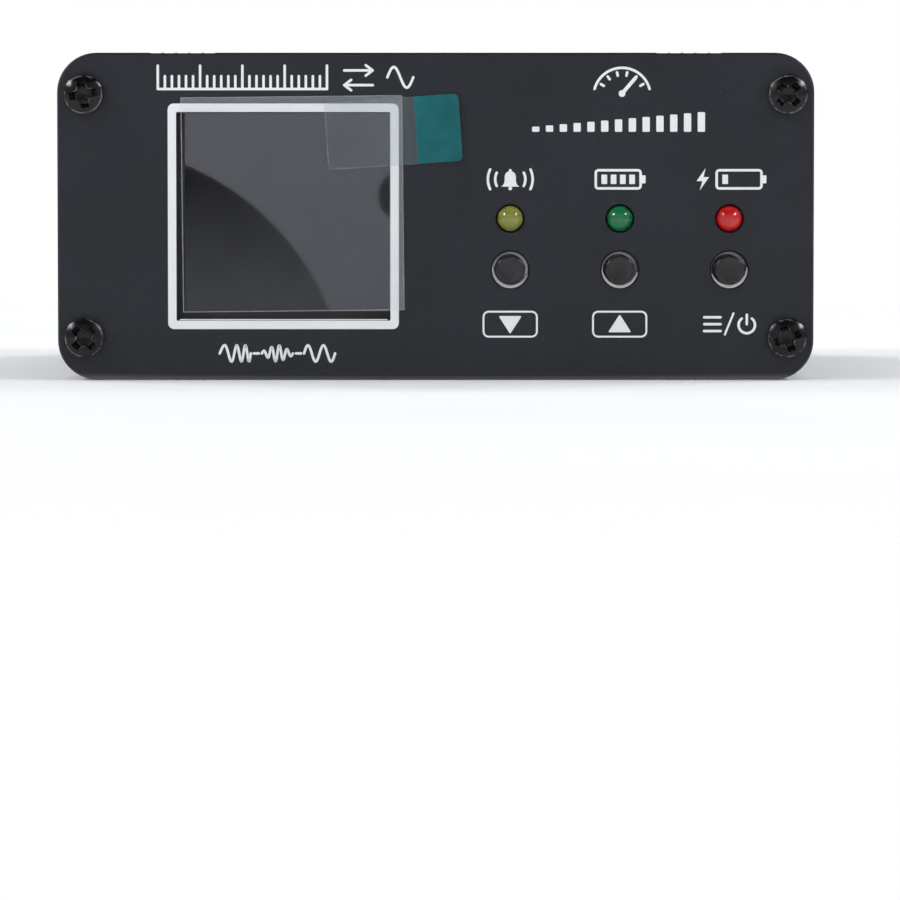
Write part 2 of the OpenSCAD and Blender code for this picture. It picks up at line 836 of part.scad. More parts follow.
module rocker_housing() {
    color([0.1, 0.1, 0.11]) on_rear(rocker_x, rocker_z) difference() {
        union() {
            linear_extrude(bezel_edge) square([bezel_w, bezel_h], center = true);
            bezel_slope();
            translate([-housing_w / 2, -housing_h / 2, -housing_back])
                cube([housing_w, housing_h, housing_back + tiny]);
        }
        translate([-rocker_open_w / 2, -rocker_open_h / 2, -housing_back + 1.2])
            cube([rocker_open_w, rocker_open_h, housing_back + bezel_reach + 2]);
        translate([0, 0, -pivot_set]) rotate([0, 90, 0])
            cylinder(h = housing_w + 2, r = pivot_r + pivot_gap, center = true);
        for (z = [0, lower_blade])
            translate([0, z, -housing_back]) cube([3, 0.7, 6], center = true);
    }
}

// The bezel rises on four sloping sides to a narrow flat rim
module bezel_slope() {
    run_x = 1.15;
    run_z = 1.4;
    rise = bezel_reach - bezel_edge;
    intersection() {
        translate([0, 0, bezel_edge - tiny]) rotate([90, 0, 0])
            linear_extrude(bezel_h, center = true) polygon([
                [-bezel_w / 2, 0], [bezel_w / 2, 0],
                [bezel_w / 2 - run_x, rise + tiny], [-bezel_w / 2 + run_x, rise + tiny]
            ]);
        translate([0, 0, bezel_edge - tiny]) rotate([90, 0, 90])
            linear_extrude(bezel_w, center = true) polygon([
                [-bezel_h / 2, 0], [bezel_h / 2, 0],
                [bezel_h / 2 - run_z, rise + tiny], [-bezel_h / 2 + run_z, rise + tiny]
            ]);
    }
}

// Turns what is drawn level (Y out, Z up, pivot at the origin) to the off position, top out
module at_pivot(tilt) {
    translate([rocker_x, pivot_y, pivot_z]) rotate([-tilt, 0, 0]) children();
}

module paddle_outline() {
    polygon([
        [corner_dy - 0.35, 0], [corner_dy, corner_dz], [1, 5.2], [-0.6, 5.2], [-1.6, 3.6],
        [-1.6, -3.6], [-0.6, -5.2], [1, -5.2], [corner_dy, -corner_dz]
    ]);
}

plunger_r = 0.8;

module rocker_paddle() {
    color([0.85, 0.12, 0.1]) at_pivot(rocker_tilt) {
        difference() {
            union() {
                rotate([90, 0, 90]) linear_extrude(paddle_w, center = true) paddle_outline();
                translate([0, -1.5, 0]) rotate([90, 0, 0]) cylinder(h = 2.6, r = 1.6);
                rotate([0, 90, 0]) cylinder(h = housing_w - 0.4, r = pivot_r, center = true);
            }
            translate([0, 2, 0]) rotate([90, 0, 0]) cylinder(h = 8, r = plunger_r + 0.05);
        }
    }
}

// Round-nosed pin that presses on the contact lever
module rocker_plunger() {
    color([0.9, 0.88, 0.8]) at_pivot(rocker_tilt) translate([0, -lever_set + plunger_r + 1.8, 0]) {
        sphere(r = plunger_r);
        rotate([-90, 0, 0]) cylinder(h = 4.2, r = plunger_r);
    }
}

module rocker_spring() {
    coil_r = 0.55;
    wire_r = 0.12;
    first_y = -lever_set + plunger_r + 1.8 + 4.2 + wire_r;
    coils = 9;
    color([0.8, 0.8, 0.8]) at_pivot(rocker_tilt) for (i = [0 : coils - 1])
        translate([0, first_y + i * (2 - wire_r - first_y) / coils, 0]) rotate([90, 0, 0])
            rotate_extrude($fn = 24) translate([coil_r, 0]) circle(r = wire_r, $fn = 16);
}

lever_y = pivot_y - lever_set + 1.8 - lever_t - 0.05;
lower_blade = 3.9;

// See-saw contact that rocks on the middle blade
module contact_lever() {
    color([0.8, 0.55, 0.3]) translate([rocker_x, lever_y, pivot_z]) rotate([lever_tilt, 0, 0]) {
        translate([-1.7, 0, -4.2]) cube([3.4, lever_t, 8.4]);
        translate([0, 0, -3.7]) rotate([90, 0, 0]) cylinder(h = 0.35, r = 0.7);
    }
}

// Middle blade, lower blade, and the lower blade's contact face
module rocker_terminals() {
    back = rear_y - housing_back;
    for (z = [0, -lower_blade]) color([0.8, 0.78, 0.7])
        translate([rocker_x - 1.4, back - 6, pivot_z + z - 0.25])
            cube([2.8, (z == 0 ? lever_y - 0.06 : lever_y - 0.84) - back + 6, 0.5]);
}

module power_wires() {
    blade_y = rear_y - housing_back - 6;
    low = mid_z + board_top;
    color([0.75, 0.08, 0.08]) wire([
        [rocker_x, blade_y - joint_gap, pivot_z], [rocker_x, blade_y - 3, pivot_z],
        [rocker_x, blade_y - 7, pivot_z - 5], [rocker_x, blade_y - 8, pivot_z - 9],
        [rocker_x, blade_y - 8, low + joint_gap]
    ], 0.6, [1, 0, 0]);
    color([0.08, 0.08, 0.08]) wire([
        [rocker_x, blade_y - joint_gap, pivot_z - lower_blade],
        [rocker_x, blade_y - 2, pivot_z - lower_blade],
        [rocker_x, blade_y - 4, pivot_z - 8], [rocker_x, blade_y - 4, low + joint_gap]
    ], 0.6, [1, 0, 0]);
}

// ---------- UHF sockets ----------

lip_r = 7;
lip_set = 0.6;

module at_socket(side) {
    on_rear(side * socket_x, socket_z) children();
}

// Shell of one socket: flange, thread, front lip, bore and shank
module socket_shell(side) {
    c = 0.4;
    at_socket(side) rotate_extrude($fn = 96) polygon([
        [insulator_d / 2, socket_reach - lip_set], [lip_r, socket_reach - lip_set],
        [lip_r, socket_reach], [thread_d / 2 - c, socket_reach], [thread_d / 2, socket_reach - c],
        [thread_d / 2, flange_t], [flange_d / 2, flange_t], [flange_d / 2, 0], [shank_d / 2, 0],
        [shank_d / 2, -shank_back - panel_t], [4, -shank_back - panel_t], [4, 0.5], [insulator_d / 2, 0.5]
    ]);
}

module socket_shells() {
    color([0.8, 0.79, 0.76]) for (side = [-1, 1]) socket_shell(side);
}

module socket_insulators() {
    clear = 0.03;
    color([0.96, 0.97, 0.98]) for (side = [-1, 1]) at_socket(side) rotate_extrude($fn = 64) polygon([
        [contact_gap_d / 2, socket_reach - lip_set - 0.05],
        [insulator_d / 2 - clear, socket_reach - lip_set - 0.05], [insulator_d / 2 - clear, 0.5 + clear],
        [4 - clear, 0.5 + clear], [4 - clear, -shank_back - panel_t - 1],
        [1.65, -shank_back - panel_t - 1], [1.65, 0.6], [contact_gap_d / 2, 0.6]
    ]);
}

// Slotted tube at the front, solid pin through the insulator, tail for the solder joint
module centre_contact(side, turn) {
    tube_back = 0.7;
    tip = socket_reach - 0.9;
    color([0.85, 0.62, 0.25]) at_socket(side) difference() {
        union() {
            translate([0, 0, tube_back]) cylinder(h = tip - tube_back, d = contact_d);
            translate([0, 0, -shank_back - panel_t - 3]) cylinder(h = shank_back + panel_t + 4, r = 1.6);
        }
        translate([0, 0, tip - 9.4]) cylinder(h = 10, d = contact_bore_d);
        for (a = [0, 90]) rotate([0, 0, turn + a])
            translate([0, 0, tip - 2.6]) cube([6, 0.3, 5.4], center = true);
    }
}

module contact_antenna() {
    centre_contact(1, 45);
}

module contact_transmitter() {
    centre_contact(-1, 30);
}

lug_t = 0.4;
washer_t = 0.6;
nut_t = 2.5;
nut_flats = 16;

module ring(r_in, r_out, t) {
    difference() {
        cylinder(h = t, r = r_out);
        translate([0, 0, -1]) cylinder(h = t + 2, r = r_in);
    }
}

module behind_rear(side, depth) {
    on_rear(side * socket_x, socket_z, -panel_t - depth) children();
}

module ground_lugs() {
    color([0.8, 0.8, 0.76]) for (side = [-1, 1]) behind_rear(side, lug_t) difference() {
        union() {
            cylinder(h = lug_t, r = 8);
            translate([-1.6, -13, 0]) cube([3.2, 8, lug_t]);
        }
        translate([0, 0, -1]) cylinder(h = 3, r = shank_d / 2 + 0.05);
        translate([0, -11.6, -1]) cylinder(h = 3, r = 0.8);
    }
}

module lock_washers() {
    color([0.7, 0.7, 0.68]) for (side = [-1, 1]) behind_rear(side, lug_t + washer_t) difference() {
        ring(shank_d / 2 + 0.05, 8.2, washer_t);
        for (i = [0 : 15]) rotate([0, 0, i * 22.5]) translate([8.2, 0, washer_t / 2])
            cube([1.6, 1, 2], center = true);
    }
}

module socket_nuts() {
    color([0.8, 0.79, 0.76]) for (side = [-1, 1]) behind_rear(side, lug_t + washer_t + nut_t)
        difference() {
            rotate([0, 0, 30]) cylinder(h = nut_t, d = nut_flats / cos(30), $fn = 6);
            translate([0, 0, -1]) cylinder(h = nut_t + 2, r = shank_d / 2 + 0.05);
        }
}

case_upper();
case_lower();
front_plate();
rear_plate();
front_screws();
rear_screws();
display_frame();
display_glass();
display_backlight();
display_board();
display_header();
protective_film();
pull_tab();
lamp_alert();
lamp_full();
lamp_charge();
lamp_leads();
button_down();
button_up();
button_mode();
switch_base_down();
switch_base_up();
switch_base_mode();
switch_covers();
snap_discs();
front_board();
board_header();
main_board();
microcontroller();
charger_chip();
detector_diodes();
toroid_current();
toroid_voltage();
winding_current();
winding_voltage();
coupler_line();
sample_line();
buzzer();
battery_cell();
battery_tape();
battery_leads();
battery_plug();
battery_socket();
usb_shell();
usb_tongue();
rocker_housing();
rocker_paddle();
rocker_plunger();
rocker_spring();
contact_lever();
rocker_terminals();
power_wires();
socket_shells();
socket_insulators();
contact_antenna();
contact_transmitter();
socket_nuts();
lock_washers();
ground_lugs();
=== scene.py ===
"""Looks of a pocket SWR meter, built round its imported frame.

Shapes are worked out in millimetres on one outer face of the case (across, up, out of it),
and a Face turns them into metres in the row frame.
"""

import logging  # noqa: E402
import math  # noqa: E402
from dataclasses import dataclass  # noqa: E402
from enum import Enum  # noqa: E402

import bpy  # noqa: E402
import numpy as np  # noqa: E402
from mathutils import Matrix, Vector  # noqa: E402

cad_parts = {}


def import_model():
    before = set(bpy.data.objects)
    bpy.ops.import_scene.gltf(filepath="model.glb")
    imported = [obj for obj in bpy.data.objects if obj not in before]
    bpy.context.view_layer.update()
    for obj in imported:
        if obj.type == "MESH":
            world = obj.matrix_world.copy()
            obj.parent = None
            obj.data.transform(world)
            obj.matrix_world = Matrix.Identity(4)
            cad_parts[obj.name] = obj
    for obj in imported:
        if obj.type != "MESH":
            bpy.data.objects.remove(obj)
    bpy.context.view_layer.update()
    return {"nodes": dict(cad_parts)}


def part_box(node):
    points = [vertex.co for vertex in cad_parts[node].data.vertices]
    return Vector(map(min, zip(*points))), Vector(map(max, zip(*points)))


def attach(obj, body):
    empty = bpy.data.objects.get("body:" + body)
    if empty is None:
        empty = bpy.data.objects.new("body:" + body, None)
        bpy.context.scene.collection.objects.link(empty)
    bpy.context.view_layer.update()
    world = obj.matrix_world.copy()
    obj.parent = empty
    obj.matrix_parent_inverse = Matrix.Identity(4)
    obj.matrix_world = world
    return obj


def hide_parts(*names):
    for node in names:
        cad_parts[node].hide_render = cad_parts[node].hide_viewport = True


MM = 0.001
SIDES = (-1, 1)
CASE = "case"
# Vertex attribute: real edge wear plus painted glints and painted edge highlights, 0 to 1.
WEAR_AND_GLINT = "edge_wear_and_glint"
LOG = logging.getLogger("swr_meter")
Array = np.ndarray
Colour = tuple[float, float, float]
Span = tuple[float, float]


# ---------- outlines and paths ----------


def once_round(count: int) -> Array:
    """Angles once round in equal steps."""
    return np.linspace(0, 2 * np.pi, count, endpoint=False)


def toward(a: Array) -> Array:
    """Points (cos a, sin a)."""
    return np.stack([np.cos(a), np.sin(a)], -1)


def circle(radius: float, count: int) -> Array:
    """Points (radius cos a, radius sin a), counter-clockwise."""
    return radius * toward(once_round(count))


def cos_sin(degrees: float) -> Span:
    """Cosine and sine of an angle in degrees."""
    return math.cos(math.radians(degrees)), math.sin(math.radians(degrees))


def box_loop(width: float, height: float, radius: float, steps: int = 6) -> Array:
    """Rectangle with round corners: a quarter circle of that radius about each corner's centre.

    Args:
        width: full width in mm.
        height: full height in mm.
        radius: corner radius in mm.
        steps: points on each corner.

    Returns:
        (4 * steps, 2) points, counter-clockwise.
    """
    quarter = np.linspace(0, np.pi / 2, steps)
    a = (quarter[None, :] + np.arange(4)[:, None] * np.pi / 2).ravel()
    signs = np.repeat([[1, 1], [-1, 1], [-1, -1], [1, -1]], steps, axis=0)
    centre = signs * [width / 2 - radius, height / 2 - radius]
    return centre + radius * toward(a)


def soften(points: Array, radius: Array | float, steps: int = 4, closed: bool = True) -> Array:
    """Rounds each corner p by the curve (1-t)^2 a + 2t(1-t) p + t^2 b, with a and b the radius away from p.

    Args:
        points: (k, 2) corners.
        radius: one length for all corners or one for each, in mm.
        steps: points on each corner.
        closed: whether the last corner joins the first; if not, both ends stay sharp.

    Returns:
        The softened outline.
    """
    points = np.asarray(points, float)
    reach = np.broadcast_to(np.asarray(radius, float), len(points)).copy()
    if not closed:
        reach[[0, -1]] = 0
    before = np.roll(points, 1, axis=0) - points
    after = np.roll(points, -1, axis=0) - points
    unit = [v / np.maximum(np.linalg.norm(v, axis=1, keepdims=True), 1e-9) for v in (before, after)]
    a, b = (points + u * reach[:, None] for u in unit)
    t = np.linspace(0, 1, steps)[None, :, None]
    curve = (1 - t) ** 2 * a[:, None] + 2 * t * (1 - t) * points[:, None] + t**2 * b[:, None]
    curve = curve.reshape(-1, 2)
    keep = np.linalg.norm(curve - np.roll(curve, 1, axis=0), axis=1) > 1e-6
    keep[0] = True
    return curve[keep]


def arc(centre: Span, radius: float, start: float, end: float, steps: int = 24) -> Array:
    """Points on a circle about the centre, from one angle to another in degrees."""
    return np.array(centre) + radius * toward(np.radians(np.linspace(start, end, steps)))


def polar(radius: Array, angle: Array, height: Array) -> Array:
    """Points (r cos a, r sin a, h) for arrays that fit each other."""
    return np.stack(np.broadcast_arrays(radius * np.cos(angle), radius * np.sin(angle), height), -1)


def quads_between(rows: Array) -> list[list[int]]:
    """Quads that join each row of point numbers to the next, each row closed on itself."""
    turned = np.roll(rows, -1, axis=1)
    return np.stack([rows[:-1], turned[:-1], turned[1:], rows[1:]], -1).reshape(-1, 4).tolist()


def border(grid: Array) -> Array:
    """Outer rows and columns of a square grid, in order once round."""
    return np.concatenate([grid[:-1, 0], grid[-1, :-1], grid[:0:-1, -1], grid[0, :0:-1]])


def put(name: str, data: bpy.types.ID) -> bpy.types.Object:
    """A new object at the origin of the scene."""
    thing = bpy.data.objects.new(name, data)
    bpy.context.scene.collection.objects.link(thing)
    return thing


# ---------- faces of the case and solids ----------


@dataclass(frozen=True)
class Face:
    """One outer face: where its middle is, and which way is across, up and out of it."""

    middle: tuple[float, float, float]
    across: tuple[float, float, float]
    up: tuple[float, float, float]
    out: tuple[float, float, float]

    @classmethod
    def front(cls) -> "Face":
        """The front plate's outer face; across runs to +X."""
        low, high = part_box("front_plate")
        return cls((0.0, low.y, (low.z + high.z) / 2), (1, 0, 0), (0, 0, 1), (0, -1, 0))

    @classmethod
    def rear(cls) -> "Face":
        """The rear plate's outer face; across runs to -X, as seen from behind."""
        low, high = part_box("rear_plate")
        return cls((0.0, high.y, (low.z + high.z) / 2), (-1, 0, 0), (0, 0, 1), (0, 1, 0))

    def axes(self) -> Array:
        """Across, up and out as the rows of a matrix."""
        return np.array([self.across, self.up, self.out], float)

    def to_row(self, points: Array) -> Array:
        """Points of this face in the row frame: its middle plus their shares along the axes."""
        return np.array(self.middle) + MM * (points @ self.axes())

    def find(self, corner: Vector) -> Array:
        """A point of the row frame in this face's millimetres."""
        return (np.array(corner) - np.array(self.middle)) @ self.axes().T / MM

    def middle_of(self, node: str) -> Array:
        """Middle of a CAD node's box in this face's millimetres."""
        low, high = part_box(node)
        return self.find((low + high) / 2)

    def span_of(self, node: str) -> tuple[Array, float, float]:
        """Middle of a CAD node's box, and its outermost and innermost level."""
        low, high = (self.find(corner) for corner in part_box(node))
        return (low + high) / 2, max(low[2], high[2]), min(low[2], high[2])


class Solid:
    """Points and faces of one piece, gathered surface by surface in a face's millimetres."""

    def __init__(self) -> None:
        """Starts empty."""
        self.points: list[Array] = []
        self.faces: list[list[int]] = []
        self.wear_and_glint: list[Array] = []
        self.count = 0

    def add(self, points: Array, wear_and_glint: Array | None = None) -> Array:
        """Takes up a grid of points.

        Args:
            points: (m, n, 3) points.
            wear_and_glint: (m, n) amount of edge wear and painted glint, 0 to 1.

        Returns:
            (m, n) point numbers.
        """
        m, n, _ = points.shape
        index = np.arange(m * n).reshape(m, n) + self.count
        self.points.append(points.reshape(-1, 3))
        self.wear_and_glint.append(np.zeros(m * n) if wear_and_glint is None else wear_and_glint.ravel())
        self.count += m * n
        return index

    def skin(self, rings: Array, at: Array | Span = (0, 0), hoop: bool = False,
             wear_and_glint: Array | None = None) -> "Solid":
        """Joins each ring of points to the next by quads and closes both ends, or the last to the first.

        The rings turn counter-clockwise seen from the last one, so the faces look outwards.

        Args:
            rings: (m, n, 3) points.
            at: where their middle stands on the face.
            hoop: whether the last ring joins the first.
            wear_and_glint: (m, n) amount of edge wear and painted glint, 0 to 1.

        Returns:
            This solid.
        """
        index = self.add(rings + [at[0], at[1], 0], wear_and_glint)
        self.faces += quads_between(np.vstack([index, index[:1]]) if hoop else index)
        if not hoop:
            self.faces += [index[0, ::-1].tolist(), index[-1].tolist()]
        return self

    def turn(self, profile: Array, count: int, at: Array | Span = (0, 0), hoop: bool = False) -> "Solid":
        """Each profile point (r, h), going up the outside, is turned round as (r cos a, r sin a, h)."""
        return self.skin(polar(profile[:, :1], once_round(count), profile[:, 1:]), at, hoop)

    def loft(self, sections: list[tuple[float, float, float, float]], at: Array | Span,
             steps: int = 6, hoop: bool = False, wear_and_glint: Array | None = None) -> "Solid":
        """Stacks round-cornered rectangles (width, height, corner radius, level), going up the outside."""
        loops = [np.c_[box_loop(w, h, r, steps), np.full(4 * steps, z)] for w, h, r, z in sections]
        return self.skin(np.array(loops), at, hoop, wear_and_glint)

    def make(self, name: str, face: Face, crease: float) -> bpy.types.Object:
        """Puts the solid in the scene as a mesh piece at the origin.

        Args:
            name: the piece's name.
            face: the face that the solid was drawn on.
            crease: edges turning more than this many degrees stay sharp.

        Returns:
            The new object.
        """
        mesh = bpy.data.meshes.new(name)
        mesh.from_pydata(face.to_row(np.concatenate(self.points)), [], self.faces)
        mesh.update()
        mesh.shade_smooth()
        mesh.set_sharp_from_angle(angle=math.radians(crease))
        # Stores the edge wear and painted glint amounts as a point attribute.
        edge = mesh.attributes.new(WEAR_AND_GLINT, "FLOAT", "POINT")
        edge.data.foreach_set("value", np.concatenate(self.wear_and_glint).astype(np.float32))
        return put(name, mesh)


# ---------- finishes ----------


class Grain(Enum):
    """Which way a surface's fine grain runs: how much each axis is stretched."""

    EVEN = (1.0, 1.0, 1.0)
    LENGTHWISE = (1.0, 0.02, 1.0)
    UPRIGHT = (1.0, 1.0, 0.05)


class Rule(Enum):
    """How two values are put together."""

    GREATER = "MAXIMUM"
    PRODUCT = "MULTIPLY"
    SUM = "ADD"


CRISP = 0.0002  # width in metres of a mask's sharp edge
Node = bpy.types.Node
NodeSocket = bpy.types.NodeSocket
Box = tuple[float, float, float, float]


def plug(tree: bpy.types.NodeTree, value: object, socket: NodeSocket) -> None:
    """Links an output to a socket, or sets the socket to a plain value."""
    if isinstance(value, NodeSocket):
        tree.links.new(value, socket)
    else:
        socket.default_value = value


def wire(tree: bpy.types.NodeTree, kind: str, inputs: dict[str | int, object], **settings: object) -> Node:
    """Adds a node to a tree, sets its options, and links or sets each input.

    Args:
        tree: the node tree.
        kind: the node type after "ShaderNode".
        inputs: socket name or number to a value or an output to link.
        settings: the node's own options.

    Returns:
        The node.
    """
    made = tree.nodes.new("ShaderNode" + kind)
    for key, value in settings.items():
        setattr(made, key, value)
    for key, value in inputs.items():
        plug(tree, value, made.inputs[key])
    return made


class Sheet:
    """A material's node tree, with one method for each node that a finish uses."""

    def __init__(self, name: str) -> None:
        """Starts a material with its shader and the object's own coordinates."""
        self.material = bpy.data.materials.new(name)
        self.material.use_nodes = True
        self.tree = self.material.node_tree
        self.shader = self.tree.nodes["Principled BSDF"]
        self.coords = self.tree.nodes.new("ShaderNodeTexCoord").outputs["Object"]

    def node(self, kind: str, inputs: dict[str | int, object], **settings: object) -> Node:
        """Adds a node, as wire() does, to this material."""
        return wire(self.tree, kind, inputs, **settings)

    def noise(self, size_mm: float, grain: Grain = Grain.EVEN, detail: float = 3.0,
              shift: float = 0.0) -> NodeSocket:
        """Noise from 0 to 1 whose spots are about size_mm across, drawn out along the grain.

        Args:
            size_mm: size of a spot.
            grain: which way it is drawn out.
            detail: octaves.
            shift: moves the pattern, so that two are not alike.

        Returns:
            The noise.
        """
        place = {"Vector": self.coords, "Location": (shift, shift, shift), "Scale": grain.value}
        mapped = self.node("Mapping", place).outputs[0]
        spots = {"Vector": mapped, "Scale": 1 / (size_mm * MM), "Detail": detail}
        return self.node("TexNoise", spots).outputs[0]

    def spread(self, value: NodeSocket, source: Span, target: Span) -> NodeSocket:
        """Maps the source range, low to high, to the target range, held at its ends."""
        return self.node("MapRange", {"Value": value, "From Min": source[0], "From Max": source[1],
                                      "To Min": target[0], "To Max": target[1]}).outputs[0]

    def blend(self, share: NodeSocket, low: object, high: object) -> NodeSocket:
        """Colour that goes from low to high as share goes from 0 to 1."""
        rgba = [(*c, 1.0) if isinstance(c, tuple) else c for c in (low, high)]
        return self.node("Mix", {0: share, 6: rgba[0], 7: rgba[1]}, data_type="RGBA").outputs[2]

    def join(self, a: NodeSocket, b: NodeSocket | float, rule: Rule = Rule.GREATER) -> NodeSocket:
        """Two values put together by a rule."""
        return self.node("Math", {0: a, 1: b}, operation=rule.value).outputs[0]

    def along(self, axis: int) -> NodeSocket:
        """The X, Y or Z coordinate in metres, by axis number."""
        return self.node("SeparateXYZ", {0: self.coords}).outputs[axis]

    def within(self, axis: int, low: float, high: float, soft: float) -> NodeSocket:
        """1 between low and high along an axis, 0 outside, with soft edges.

        Args:
            axis: 0, 1 or 2.
            low: metres.
            high: metres.
            soft: width of each edge in metres.

        Returns:
            The mask.
        """
        place = self.along(axis)
        rising = self.spread(place, (low - soft / 2, low + soft / 2), (0, 1))
        falling = self.spread(place, (high - soft / 2, high + soft / 2), (1, 0))
        return self.join(rising, falling, Rule.PRODUCT)

    def patch(self, box: Box, soft: Span = (CRISP, CRISP)) -> NodeSocket:
        """1 inside a box of the row frame, given as low x, high x, low z, high z in metres."""
        return self.join(self.within(0, box[0], box[1], soft[0]), self.within(2, box[2], box[3], soft[1]),
                         Rule.PRODUCT)

    def wear_and_glint_amount(self) -> NodeSocket:
        """The piece's own edge wear and painted glint, 0 to 1."""
        return self.node("Attribute", {}, attribute_name=WEAR_AND_GLINT).outputs["Fac"]

    def bump(self, height: NodeSocket, relief_mm: float) -> NodeSocket:
        """Normal bent by a height of relief_mm."""
        return self.node("Bump", {"Height": height, "Distance": relief_mm * MM, "Strength": 1.0}).outputs[0]

    def feed(self, **sockets: object) -> None:
        """Sets or links sockets of the shader; underscores in a name stand for spaces."""
        for key, value in sockets.items():
            plug(self.tree, value, self.shader.inputs[key.replace("_", " ")])

    def glow(self, colour: Colour, strength: NodeSocket | float) -> None:
        """Lets the surface shine by itself and mirror nothing."""
        self.feed(Base_Color=(0, 0, 0, 1), Specular_IOR_Level=0.0, Emission_Color=(*colour, 1.0),
                  Emission_Strength=strength)


@dataclass(frozen=True)
class Finish:
    """A surface finish: two tones, a grain with relief, uneven gloss and a little dust."""

    slot: str
    colour: Colour
    tone: Colour
    metallic: float = 0.0
    roughness: float = 0.5
    unevenness: float = 0.08
    grain: Grain = Grain.EVEN
    grain_mm: float = 0.12
    relief_mm: float = 0.004
    blotch_mm: float = 7.0
    dust: float = 0.0
    specular: float = 0.5
    name: str = ""

    def colours(self, sheet: Sheet) -> NodeSocket:
        """Colour from the blotches and the grain together, with dust specks over it.

        Args:
            sheet: the material's nodes.

        Returns:
            The colour.
        """
        blotch = sheet.noise(self.blotch_mm)
        fine = sheet.noise(self.grain_mm * 2, self.grain, shift=0.1)
        share = sheet.spread(sheet.join(blotch, fine, Rule.SUM), (0.7, 1.3), (0.0, 1.0))
        colour = sheet.blend(share, self.colour, self.tone)
        if self.dust:
            speck = sheet.spread(sheet.noise(0.35, detail=1, shift=0.3), (0.80, 0.84), (0, self.dust))
            colour = sheet.blend(speck, colour, (0.55, 0.56, 0.58))
        return colour

    def extras(self, sheet: Sheet) -> None:
        """What one kind of finish adds to the plain recipe."""

    def material(self) -> bpy.types.Material:
        """The finish as a material; made once and kept by name."""
        label = self.name or self.slot
        known = bpy.data.materials.get("finish_" + label)
        if known:
            return known
        sheet = Sheet("finish_" + label)
        gloss = sheet.noise(self.blotch_mm * 0.6, shift=0.7)
        low, high = self.roughness - self.unevenness, self.roughness + self.unevenness
        sheet.feed(
            Base_Color=self.colours(sheet),
            Metallic=self.metallic,
            Roughness=sheet.spread(gloss, (0.3, 0.7), (low, high)),
            Specular_IOR_Level=self.specular,
            Normal=sheet.bump(sheet.noise(self.grain_mm, self.grain), self.relief_mm),
        )
        self.extras(sheet)
        return sheet.material


@dataclass(frozen=True)
class PlateFinish(Finish):
    """Satin black plate with faint rub marks at some spots of its face."""

    metallic: float = 0.2
    roughness: float = 0.48
    unevenness: float = 0.03
    grain_mm: float = 0.16
    relief_mm: float = 0.002
    blotch_mm: float = 14
    dust: float = 0.3
    specular: float = 0.42
    rubs: tuple[Box, ...] = ()

    def colours(self, sheet: Sheet) -> NodeSocket:
        """Plain colours, lightened by upright streaks inside each rub's box of the row frame, in metres."""
        colour = super().colours(sheet)
        streak = sheet.spread(sheet.noise(0.5, Grain.UPRIGHT, shift=0.9), (0.42, 0.75), (0, 0.55))
        for box in self.rubs:
            share = sheet.join(sheet.patch(box, (0.002, 0.003)), streak, Rule.PRODUCT)
            colour = sheet.blend(share, colour, (0.11, 0.12, 0.15))
        return colour


@dataclass(frozen=True)
class BlackWithWearAndGlints(Finish):
    """Black finish made bright in broken spots at the piece's edges: partly real wear, partly painted glints.
    """

    # Colour of the worn spots and of the painted glints.
    bare_and_lit: Colour = (0.42, 0.42, 0.43)

    def extras(self, sheet: Sheet) -> None:
        """Blends in the bare colour, which stands for worn metal and painted glints, by the edge wear times a
        spotty noise.
        """
        broken = sheet.spread(sheet.noise(0.6, shift=0.5), (0.42, 0.58), (0.03, 1))
        # Mask of real wear and painted glints along the edges.
        bare_and_lit = sheet.join(sheet.wear_and_glint_amount(), broken, Rule.PRODUCT)
        under = sheet.shader.inputs["Base Color"].links[0].from_socket
        sheet.feed(Base_Color=sheet.blend(bare_and_lit, under, self.bare_and_lit))


@dataclass(frozen=True)
class Lens(Finish):
    """Coloured diffusing resin of a lamp: light soaks in a little under a glossy skin."""

    roughness: float = 0.3
    unevenness: float = 0.03
    grain_mm: float = 0.5
    relief_mm: float = 0.001
    blotch_mm: float = 1.5
    specular: float = 0.05

    def extras(self, sheet: Sheet) -> None:
        """Adds the depth and the skin."""
        sheet.feed(Subsurface_Weight=0.5, Subsurface_Radius=(1.0, 1.0, 1.0), Subsurface_Scale=0.0008,
                   Coat_Weight=1.0, Coat_Roughness=0.02, Coat_IOR=1.6)


@dataclass(frozen=True)
class ClearSheet(Finish):
    """Clear or tinted plastic sheet with a painted highlight along its cut edge and a painted reflection where
    it lies over the plate.
    """

    cover: float = 0.1
    # Alpha at the cut edges: a painted highlight.
    edge_highlight: float = 0.5
    clear_of: Box = (0.0, 0.0, 0.0, 0.0)
    # Extra alpha outside the opening: a painted reflection of the sheet where it lies over the plate.
    reflection_over_plate: float = 0.0

    def extras(self, sheet: Sheet) -> None:
        """Sets how much of the sheet shows: faint smears, a painted highlight at the edges, and a painted
        reflection outside an opening.
        """
        smear = sheet.spread(sheet.noise(4.0, shift=0.2), (0.3, 0.7), (self.cover * 0.8, self.cover * 1.2))
        edge = sheet.spread(sheet.wear_and_glint_amount(), (0, 1), (0, self.edge_highlight))
        # Painted reflection: more of the sheet shows outside the opening.
        reflection_veil = sheet.spread(sheet.patch(self.clear_of), (0, 1), (self.reflection_over_plate, 0))
        sheet.feed(Alpha=sheet.join(sheet.join(smear, edge), reflection_veil))


@dataclass(frozen=True)
class DarkGlass(Finish):
    """Display glass: a dark picture area inside a slightly paler border."""

    border: float = 0.0012

    def colours(self, sheet: Sheet) -> NodeSocket:
        """Border tone outside the picture area, the plain colour inside."""
        low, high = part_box("display_glass")
        edge = self.border
        inside = sheet.patch((low.x + edge, high.x - edge, low.z + edge, high.z - edge))
        return sheet.blend(inside, self.tone, super().colours(sheet))


